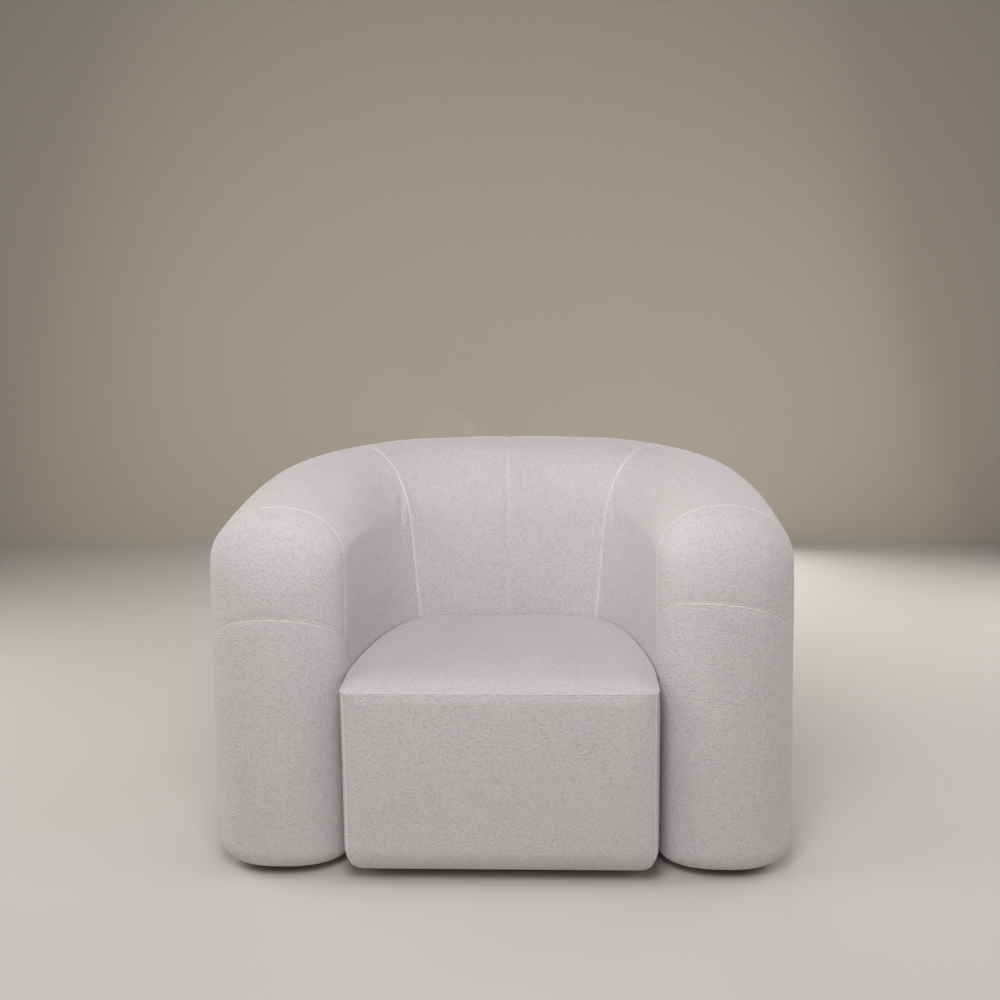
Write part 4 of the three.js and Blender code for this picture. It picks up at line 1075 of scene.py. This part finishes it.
# %% Dust cloth
DUST_Z = sum(corner[2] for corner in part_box("dust_cover")) / 2
DUST_INSET, HOLE_RADIUS = 0.052, 0.0285
DUST_REACH = HALF - DUST_INSET
FIELD_STEP, FIELD_X, FIELD_Y, FIELD_STRAY = 0.012, 0.56, 0.42, 0.002
HOLE_MARGIN, EDGE_MARGIN, DUST_SAG = 0.006, 0.005, 0.25
FEET = [
    np.add(*(np.array(corner[:2]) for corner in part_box(f"{side}_{foot}"))) / 2
    for side in ("left", "right")
    for foot in ("arm_foot", "rear_foot", "seat_foot")
]


def dust_outline():
    """Round the whole cloth: along the wall at a set distance from its middle line, round each arm's front
    and across the seat's front."""
    ribs = outer_ribs(np.linspace(QUARTER, 0, 120))
    wall = ribs["centre"] + ribs["out"] * DUST_REACH
    ribs = nose_ribs(np.linspace(0, math.pi, 60)[1:])
    nose = ribs["centre"] + ribs["out"] * DUST_REACH
    x, notch, front = -SEAT_HALF + BOX_INSET, NOSE_Y + DUST_INSET, FRONT_Y + BOX_INSET
    seat = np.array([[x, notch], [x, front], [0, front]])
    left = np.concatenate([wall, nose, seat])
    return np.concatenate([left, (left * [-1, 1])[-2:0:-1]])


def inside(points, outline):
    """Whether points lie within a closed outline: a line from each one crosses it an odd number of times."""
    a, b = outline, np.roll(outline, -1, axis=0)
    x, y = points[:, :1], points[:, 1:]
    spans = (a[:, 1] > y) != (b[:, 1] > y)
    rise = np.where(b[:, 1] == a[:, 1], TINY, b[:, 1] - a[:, 1])
    cross = a[:, 0] + (y - a[:, 1]) * (b[:, 0] - a[:, 0]) / rise
    return (spans & (x < cross)).sum(1) % 2 == 1


outline = dust_outline()
circle = np.linspace(0, 2 * math.pi, 41)[:-1]
ring = np.stack([np.cos(circle), np.sin(circle)], -1)
rings = [centre + HOLE_RADIUS * ring for centre in FEET]
field_x, field_y = np.arange(-FIELD_X, FIELD_X + 0.01, FIELD_STEP), np.arange(-FIELD_Y, FIELD_Y, FIELD_STEP)
field = np.stack(np.meshgrid(field_x, field_y), -1).reshape(-1, 2)
field += np.random.default_rng(5).uniform(-FIELD_STRAY, FIELD_STRAY, field.shape)
keep = inside(field, outline)
for centre in FEET:
    keep &= np.linalg.norm(field - centre, axis=1) > HOLE_RADIUS + HOLE_MARGIN
keep &= np.linalg.norm(field[:, None] - outline[None], axis=2).min(1) > EDGE_MARGIN
loops = [outline, *rings]
starts = np.cumsum([0] + [len(loop) for loop in loops])
edges = [
    (int(s + k), int(s + (k + 1) % len(loop))) for s, loop in zip(starts, loops) for k in range(len(loop))
]
points = np.concatenate([*loops, field[keep]])
flat, _, triangles, *_ = delaunay_2d_cdt([Vector(p) for p in points], edges, [], 0, 1e-7)
flat = np.array([tuple(p) for p in flat])
triangles = np.array(triangles)
middles = flat[triangles].mean(1)
good = inside(middles, outline)
for centre in FEET:
    good &= np.linalg.norm(middles - centre, axis=1) > HOLE_RADIUS
triangles = triangles[good]
away = np.linalg.norm(flat[:, None] - outline[None, ::2], axis=2).min(1)
waves = slow_swell(np.stack([flat[:, 0] * 2, flat[:, 1] * 2, 0 * away], -1), seed=12)
sag = waves * DUST_SAG * ramp(away, 0, SWELL_FADE)
cloth = np.stack([flat[:, 0], flat[:, 1], DUST_Z + sag], -1)
mesh = bpy.data.meshes.new("dust_cover_cloth")
mesh.from_pydata(cloth.tolist(), [], triangles[:, ::-1].tolist())
mesh.shade_smooth()
dust = bpy.data.objects.new("dust_cover_cloth", mesh)
bpy.context.scene.collection.objects.link(dust)
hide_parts("dust_cover")
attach(dust, "root")

# %% [markdown]
# ## Writing materials as sums
#
# A material is a web of nodes, and most of them only add or multiply. The small class below wraps a
# socket, so that a sum written in Python makes the Math nodes for it. Everything else comes from one method
# that takes a node's type, its settings and its inputs.

# %% Sums on sockets
class Wire:
    """A value in a material. A sum with it makes the Math node that works it out."""

    def __init__(self, finish, socket):
        self.finish, self.socket = finish, socket

    def math(self, operation, *values, clamp=False):
        """A Math node with these values, wires among them."""
        settings = {"operation": operation, "use_clamp": clamp}
        return self.finish.node("ShaderNodeMath", settings, dict(enumerate(values)))

    def __add__(self, other):
        return self.math("ADD", self, other)

    __radd__ = __add__

    def __sub__(self, other):
        return self.math("SUBTRACT", self, other)

    def __rsub__(self, other):
        return self.math("SUBTRACT", other, self)

    def __mul__(self, other):
        return self.math("MULTIPLY", self, other)

    __rmul__ = __mul__

    def clamped(self):
        """The value, kept between 0 and 1."""
        return self.math("ADD", self, 0.0, clamp=True)

    def between(self, low, high):
        """A soft step from 0 at low to 1 at high."""
        settings = {"interpolation_type": "SMOOTHSTEP"}
        return self.finish.node("ShaderNodeMapRange", settings, {0: self, 1: low, 2: high, 3: 0.0, 4: 1.0})


class Finish:
    """A material in the making. Constants are set on its shader's own sockets, by name."""

    def __init__(self, name, **constants):
        self.material = bpy.data.materials.new(name)
        self.material.use_nodes = True
        self.tree = self.material.node_tree
        self.shader = self.tree.nodes["Principled BSDF"]
        for socket, value in constants.items():
            self.shader.inputs[socket.replace("_", " ").title()].default_value = value

    def node(self, kind, settings=None, inputs=None, out=0):
        """Adds a node: its settings are set first, and then its sockets' values or links."""
        made = self.tree.nodes.new(kind)
        for key, value in (settings or {}).items():
            setattr(made, key, value)
        for key, value in (inputs or {}).items():
            if isinstance(value, Wire):
                self.tree.links.new(value.socket, made.inputs[key])
            else:
                made.inputs[key].default_value = value
        return Wire(self, made.outputs[out])

    def place(self):
        """The place in the object's own space, in metres."""
        return self.node("ShaderNodeTexCoord", out="Object")

    def noise(self, place, scale, detail=2.0, roughness=0.5, **more):
        """Soft noise from 0 to 1, with so many waves to a metre."""
        inputs = {"Vector": place, "Scale": scale, "Detail": detail, "Roughness": roughness, **more}
        return self.node("ShaderNodeTexNoise", {}, inputs)

    def bent(self, place, scale, reach):
        """The place, moved about by noise, up to a reach along each axis."""
        stray = self.node("ShaderNodeTexNoise", {}, {"Vector": place, "Scale": scale}, out="Color")
        settings = {"operation": "MULTIPLY_ADD"}
        return self.node("ShaderNodeVectorMath", settings, {0: stray, 1: (reach,) * 3, 2: place})

    def nubs(self, place, scale, smooth=0.6):
        """Distance from the middle of the nearest cell, in shares of a cell."""
        inputs = {"Vector": place, "Scale": scale, "Smoothness": smooth}
        return self.node("ShaderNodeTexVoronoi", {"feature": "SMOOTH_F1"}, inputs)

    def stretched(self, place, factors):
        """The place, times a factor along each axis. A pattern gets longer where the factor is small."""
        return self.node("ShaderNodeMapping", {}, {"Vector": place, "Scale": factors})

    def blend(self, share, low, high):
        """The low colour at a share of 0, the high one at 1."""
        settings = {"data_type": "RGBA"}
        values = {"Factor": share, 6: (*low, 1) if isinstance(low, tuple) else low}
        values[7] = (*high, 1) if isinstance(high, tuple) else high
        return self.node("ShaderNodeMix", settings, values, out=2)

    def bump(self, height, distance, strength):
        """A surface that looks uneven: a height of 1 stands out by the distance."""
        values = {"Height": height, "Distance": distance, "Strength": strength}
        return self.node("ShaderNodeBump", {}, values)

    def finish(self, color, roughness=None, normal=None):
        """Sets or links the shader's sockets, and gives the material."""
        for socket, value in {"Base Color": color, "Roughness": roughness, "Normal": normal}.items():
            if isinstance(value, Wire):
                self.tree.links.new(value.socket, self.shader.inputs[socket])
            elif value is not None:
                self.shader.inputs[socket].default_value = value
        return self.material


print("materials are written as sums")

# %% [markdown]
# ## Loop cloth
#
# The cover is a boucle: its yarn stands up in small round loops, some four millimetres across, in an
# off-white that is a little grey. From a step away it reads as fine grain, and it scatters light softly at
# its edges, which the shader's sheen does. Loops are cells of a 3-D pattern, so they have the same size on
# every panel; their tops are painted lighter and the gaps between them darker, as painted light and shade.
# The fold beside a seam is painted paler than the rest, a painted highlight on its ridge, and its place
# comes from the seam attribute.

# %% Boucle
def boucle():
    """Loops as 3-D cells with painted shade between them, finer fibre over them, and a slow change of tone.
    """
    cloth = Finish("boucle", roughness=0.95, sheen_weight=0.25, sheen_roughness=0.55)
    place = cloth.place()
    loose = 0.9 + cloth.noise(place, 110.0, 1.0) * 1.1
    loops = 1 - cloth.nubs(cloth.bent(place, 160.0, 0.004), 250.0) * loose
    fine = cloth.noise(place, 900.0, 3.0, 0.6)
    tone = cloth.noise(place, 9.0, 2.0)
    seam = cloth.node("ShaderNodeAttribute", {"attribute_name": "seam"}, out="Fac")
    # Near a seam the colour below is blended paler: a painted highlight on the fold's ridge.
    fold = 1 - seam.between(0.0018, 0.0032)
    # Loop tops painted lighter and the gaps between loops darker: painted light and shade, mixed with the
    # cloth's random tone.
    tone_and_loop_shade = (loops * 0.7 + fine * 0.3 + tone * 0.2).clamped()
    colour = cloth.blend(tone_and_loop_shade, (0.52, 0.49, 0.503), (0.685, 0.65, 0.665))
    colour = cloth.blend(fold * 0.7, colour, (0.80, 0.78, 0.775))
    height = loops * 0.8 + fine * 0.35
    return cloth.finish(colour, normal=cloth.bump(height, 0.0022, 0.6))


# %% Foam, felt and dust cloth
def cut_foam():
    """Pale yellow foam with open cells, patchy as it is with age."""
    foam = Finish("cut_foam", roughness=0.95, sheen_weight=0.1)
    place = foam.place()
    cells = foam.nubs(place, 700.0, 0.2)
    patch = foam.noise(place, 12.0, 3.0)
    colour = foam.blend(patch * 0.6 + cells * 0.5, (0.80, 0.72, 0.46), (0.60, 0.50, 0.26))
    return foam.finish(colour, normal=foam.bump(cells, 0.0008, 0.6))


def pressed_felt():
    """Dark felt: hairs that lie along one way, and lighter flecks."""
    felt = Finish("pressed_felt", roughness=0.97)
    place = felt.place()
    hairs = felt.noise(felt.stretched(place, (1.0, 0.25, 1.0)), 900.0, 4.0, 0.7)
    flecks = felt.noise(place, 260.0, 2.0).between(0.55, 0.68)
    colour = felt.blend(hairs * 0.6 + flecks * 0.4, (0.13, 0.12, 0.11), (0.30, 0.28, 0.26))
    return felt.finish(colour, normal=felt.bump(hairs, 0.0008, 0.5))


def dust_cloth():
    """Thin black cloth, pressed in small dots."""
    cloth = Finish("dust_cloth", roughness=0.85)
    place = cloth.place()
    dots = cloth.nubs(cloth.stretched(place, (1.0, 1.0, 0.001)), 420.0, 0.1)
    fibre = cloth.noise(place, 1200.0, 2.0)
    colour = cloth.blend(dots + fibre * 0.3, (0.030, 0.030, 0.031), (0.012, 0.012, 0.013))
    return cloth.finish(colour, normal=cloth.bump(dots, 0.0003, 0.5))


# %% [markdown]
# ## Wood, wire and plastic
#
# The frame is unfinished birch plywood and softwood. Grain is noise that is stretched along one axis.
# Springs are drawn wire, and the feet are moulded plastic with a faint matt texture.

# %% Frame finishes
def plywood():
    """Birch plywood: broad grain with fine dark lines over it."""
    wood = Finish("birch_plywood", roughness=0.62)
    place = wood.place()
    grain = wood.noise(wood.stretched(place, (1.0, 1.0, 14.0)), 18.0, 6.0, 0.62, Distortion=0.7)
    fine = wood.noise(wood.stretched(place, (20.0, 20.0, 1.2)), 40.0, 2.0)
    colour = wood.blend(grain.between(0.35, 0.7), (0.66, 0.47, 0.27), (0.50, 0.33, 0.17))
    colour = wood.blend(fine * 0.35, colour, (0.38, 0.24, 0.12))
    return wood.finish(colour, 0.55 + grain * 0.2, wood.bump(fine, 0.0003, 0.4))


def softwood():
    """Planed softwood: yearly rings, a little bent, with fine fibre."""
    wood = Finish("planed_softwood", roughness=0.6)
    place = wood.place()
    rings = wood.node(
        "ShaderNodeTexWave",
        {"wave_type": "RINGS", "rings_direction": "X", "wave_profile": "SAW"},
        {"Vector": wood.bent(place, 5.0, 0.03), "Scale": 28.0, "Distortion": 2.0, "Detail": 2.0},
        out="Fac",
    )
    fine = wood.noise(wood.stretched(place, (2.0, 40.0, 40.0)), 30.0, 3.0)
    colour = wood.blend(rings.between(0.2, 1.0), (0.72, 0.53, 0.30), (0.55, 0.35, 0.16))
    colour = wood.blend(fine * 0.3, colour, (0.40, 0.25, 0.12))
    return wood.finish(colour, 0.5 + fine * 0.25, wood.bump(fine, 0.0003, 0.4))


def drawn_wire():
    """Drawn steel wire, dull in patches."""
    wire = Finish("drawn_wire", metallic=1.0)
    place = wire.place()
    lines = wire.noise(wire.stretched(place, (1.0, 0.1, 1.0)), 1500.0, 2.0)
    dull = wire.noise(place, 40.0, 3.0).between(0.4, 0.75)
    colour = wire.blend(dull, (0.42, 0.42, 0.43), (0.25, 0.23, 0.21))
    return wire.finish(colour, 0.28 + lines * 0.15 + dull * 0.2, wire.bump(lines, 0.0001, 0.3))


def moulded_plastic():
    """Black plastic with a fine texture and a few scuffs."""
    plastic = Finish("moulded_plastic")
    place = plastic.place()
    grain = plastic.noise(place, 1400.0, 2.0)
    scuff = plastic.noise(place, 90.0, 4.0).between(0.55, 0.8)
    colour = plastic.blend(scuff, (0.013, 0.013, 0.014), (0.035, 0.034, 0.033))
    return plastic.finish(colour, 0.42 + scuff * 0.25, plastic.bump(grain, 0.0001, 0.4))


FINISHES = {
    "boucle": boucle(),
    "foam": cut_foam(),
    "felt": pressed_felt(),
    "dust_cloth": dust_cloth(),
    "plywood": plywood(),
    "timber": softwood(),
    "spring_steel": drawn_wire(),
    "glide": moulded_plastic(),
}
SLOTS = {part["node"]: part["material_slot"] for part in frame["record"]["subparts"]}
for piece in [o for o in bpy.context.scene.objects if o.type == "MESH"]:
    node = piece.name if piece.name in SLOTS else piece.name.rsplit("_", 1)[0]
    if node in SLOTS:
        piece.data.materials.clear()
        piece.data.materials.append(FINISHES[SLOTS[node]])
print(len(SLOTS), "nodes in", len(FINISHES), "finishes")

# %% [markdown]
# ## Camera, floor and light
#
# The camera stands where the photograph was taken from: in front, some 1.3 m up, tilted down by not quite
# four degrees and with its frame shifted down for the rest, so that uprights stay nearly upright. The place
# came from fitting the chair's own edges to the picture. The floor and backdrop are plain and pale. The
# light is soft and comes mostly from the front and above, rather more from the left than from the right, as
# the picture's shadows show. A small lamp over the seat lights the inner back, and two lamps behind the
# chair let its outside be seen as well.

# %% Camera
IMAGE, SENSOR = 1000, 36
EYE = (0.1245, -2.9559, 1.2765)
focal, principal = 1303.07, (501.36, 332.73)
yaw, pitch, roll = math.radians(2.4932), math.radians(3.8098), math.radians(-0.7299)
forward = Vector((-math.sin(yaw) * math.cos(pitch), math.cos(yaw) * math.cos(pitch), -math.sin(pitch)))
level = Vector((math.cos(yaw), math.sin(yaw), 0))
upright = level.cross(forward)
right = math.cos(roll) * level + math.sin(roll) * upright
up = math.cos(roll) * upright - math.sin(roll) * level
lens = bpy.data.cameras.new("photo")
lens.sensor_width, lens.lens = SENSOR, focal * SENSOR / IMAGE
lens.shift_x, lens.shift_y = (IMAGE / 2 - principal[0]) / IMAGE, (principal[1] - IMAGE / 2) / IMAGE
camera = bpy.data.objects.new("photo", lens)
bpy.context.scene.collection.objects.link(camera)
turned = Matrix((right, up, -forward)).transposed().to_4x4()
camera.matrix_world = Matrix.Translation(EYE) @ turned
bpy.context.scene.camera = camera
print("camera", tuple(camera.location), "lens", round(lens.lens, 2), "mm")


# %% Floor and backdrop
SIDE, NEAR, FAR, TOP = 9, -7, 2.6, 7


def plain_surface(name, points, colour):
    """A matt surface with four corners. It is part of the stage and not of the chair."""
    stage = new_piece(name, np.array(points, float), np.array([(0, 1, 2, 3)]))
    surface = Finish(name, roughness=0.9)
    stage.data.materials.append(surface.finish((*colour, 1)))
    print(name, colour)


floor_corners = [(-SIDE, NEAR, 0), (SIDE, NEAR, 0), (SIDE, FAR, 0), (-SIDE, FAR, 0)]
wall_corners = [(-SIDE, FAR, 0), (SIDE, FAR, 0), (SIDE, FAR, TOP), (-SIDE, FAR, TOP)]
plain_surface("floor", floor_corners, (0.64, 0.62, 0.60))
plain_surface("backdrop", wall_corners, (0.54, 0.50, 0.43))


# %% Lamps
def soft_lamp(name, place, target, size, watts, colour):
    """A square lamp that faces its target. The camera doesn't see it, but its light is there."""
    lamp = bpy.data.lights.new(name, "AREA")
    lamp.shape, lamp.size = "SQUARE", size
    lamp.energy, lamp.color = watts, colour
    made = bpy.data.objects.new(name, lamp)
    bpy.context.scene.collection.objects.link(made)
    made.location = place
    made.visible_camera = False
    made.rotation_euler = (Vector(target) - Vector(place)).to_track_quat("-Z", "Y").to_euler()
    print(name, watts, "W")


aim = (0, -0.1, 0.5)
soft_lamp("front", (-0.1, -1.90, 2.10), aim, 0.9, 22, (1.0, 0.98, 0.97))
soft_lamp("above", (0, -1.00, 2.40), aim, 1.0, 3.5, (1.0, 0.99, 0.98))
soft_lamp("far_front", (-0.2, -3.20, 2.60), aim, 1.5, 13, (1.0, 0.98, 0.96))
soft_lamp("low_front", (-0.4, -3.40, 0.50), aim, 1.5, 9.5, (1.0, 0.98, 0.98))
soft_lamp("left", (-2.59, -0.79, 2.54), aim, 1.5, 20, (1.0, 1.0, 0.97))
soft_lamp("low_left", (-2.60, 0.50, 1.20), aim, 1.5, 20, (1.0, 0.98, 0.93))
soft_lamp("inner", (0, -0.50, 1.45), (0, 0.30, 0.50), 0.6, 2, (1.0, 0.97, 0.98))
soft_lamp("right", (2.59, -0.79, 2.54), aim, 1.5, 7, (1.0, 0.97, 0.96))
soft_lamp("low_right", (1.70, -0.40, 0.90), aim, 0.9, 3, (1.0, 1.0, 0.98))
soft_lamp("behind", (0.40, 2.40, 1.00), aim, 1.5, 21, (1.0, 0.98, 0.95))
soft_lamp("behind_right", (2.40, 1.30, 1.10), aim, 1.5, 18, (1.0, 0.98, 0.95))
world = bpy.data.worlds.new("studio")
world.use_nodes = True
world.node_tree.nodes["Background"].inputs["Color"].default_value = (1.0, 0.98, 0.95, 1)
world.node_tree.nodes["Background"].inputs["Strength"].default_value = 0.09
bpy.context.scene.world = world
bpy.context.scene.view_settings.view_transform = "Standard"
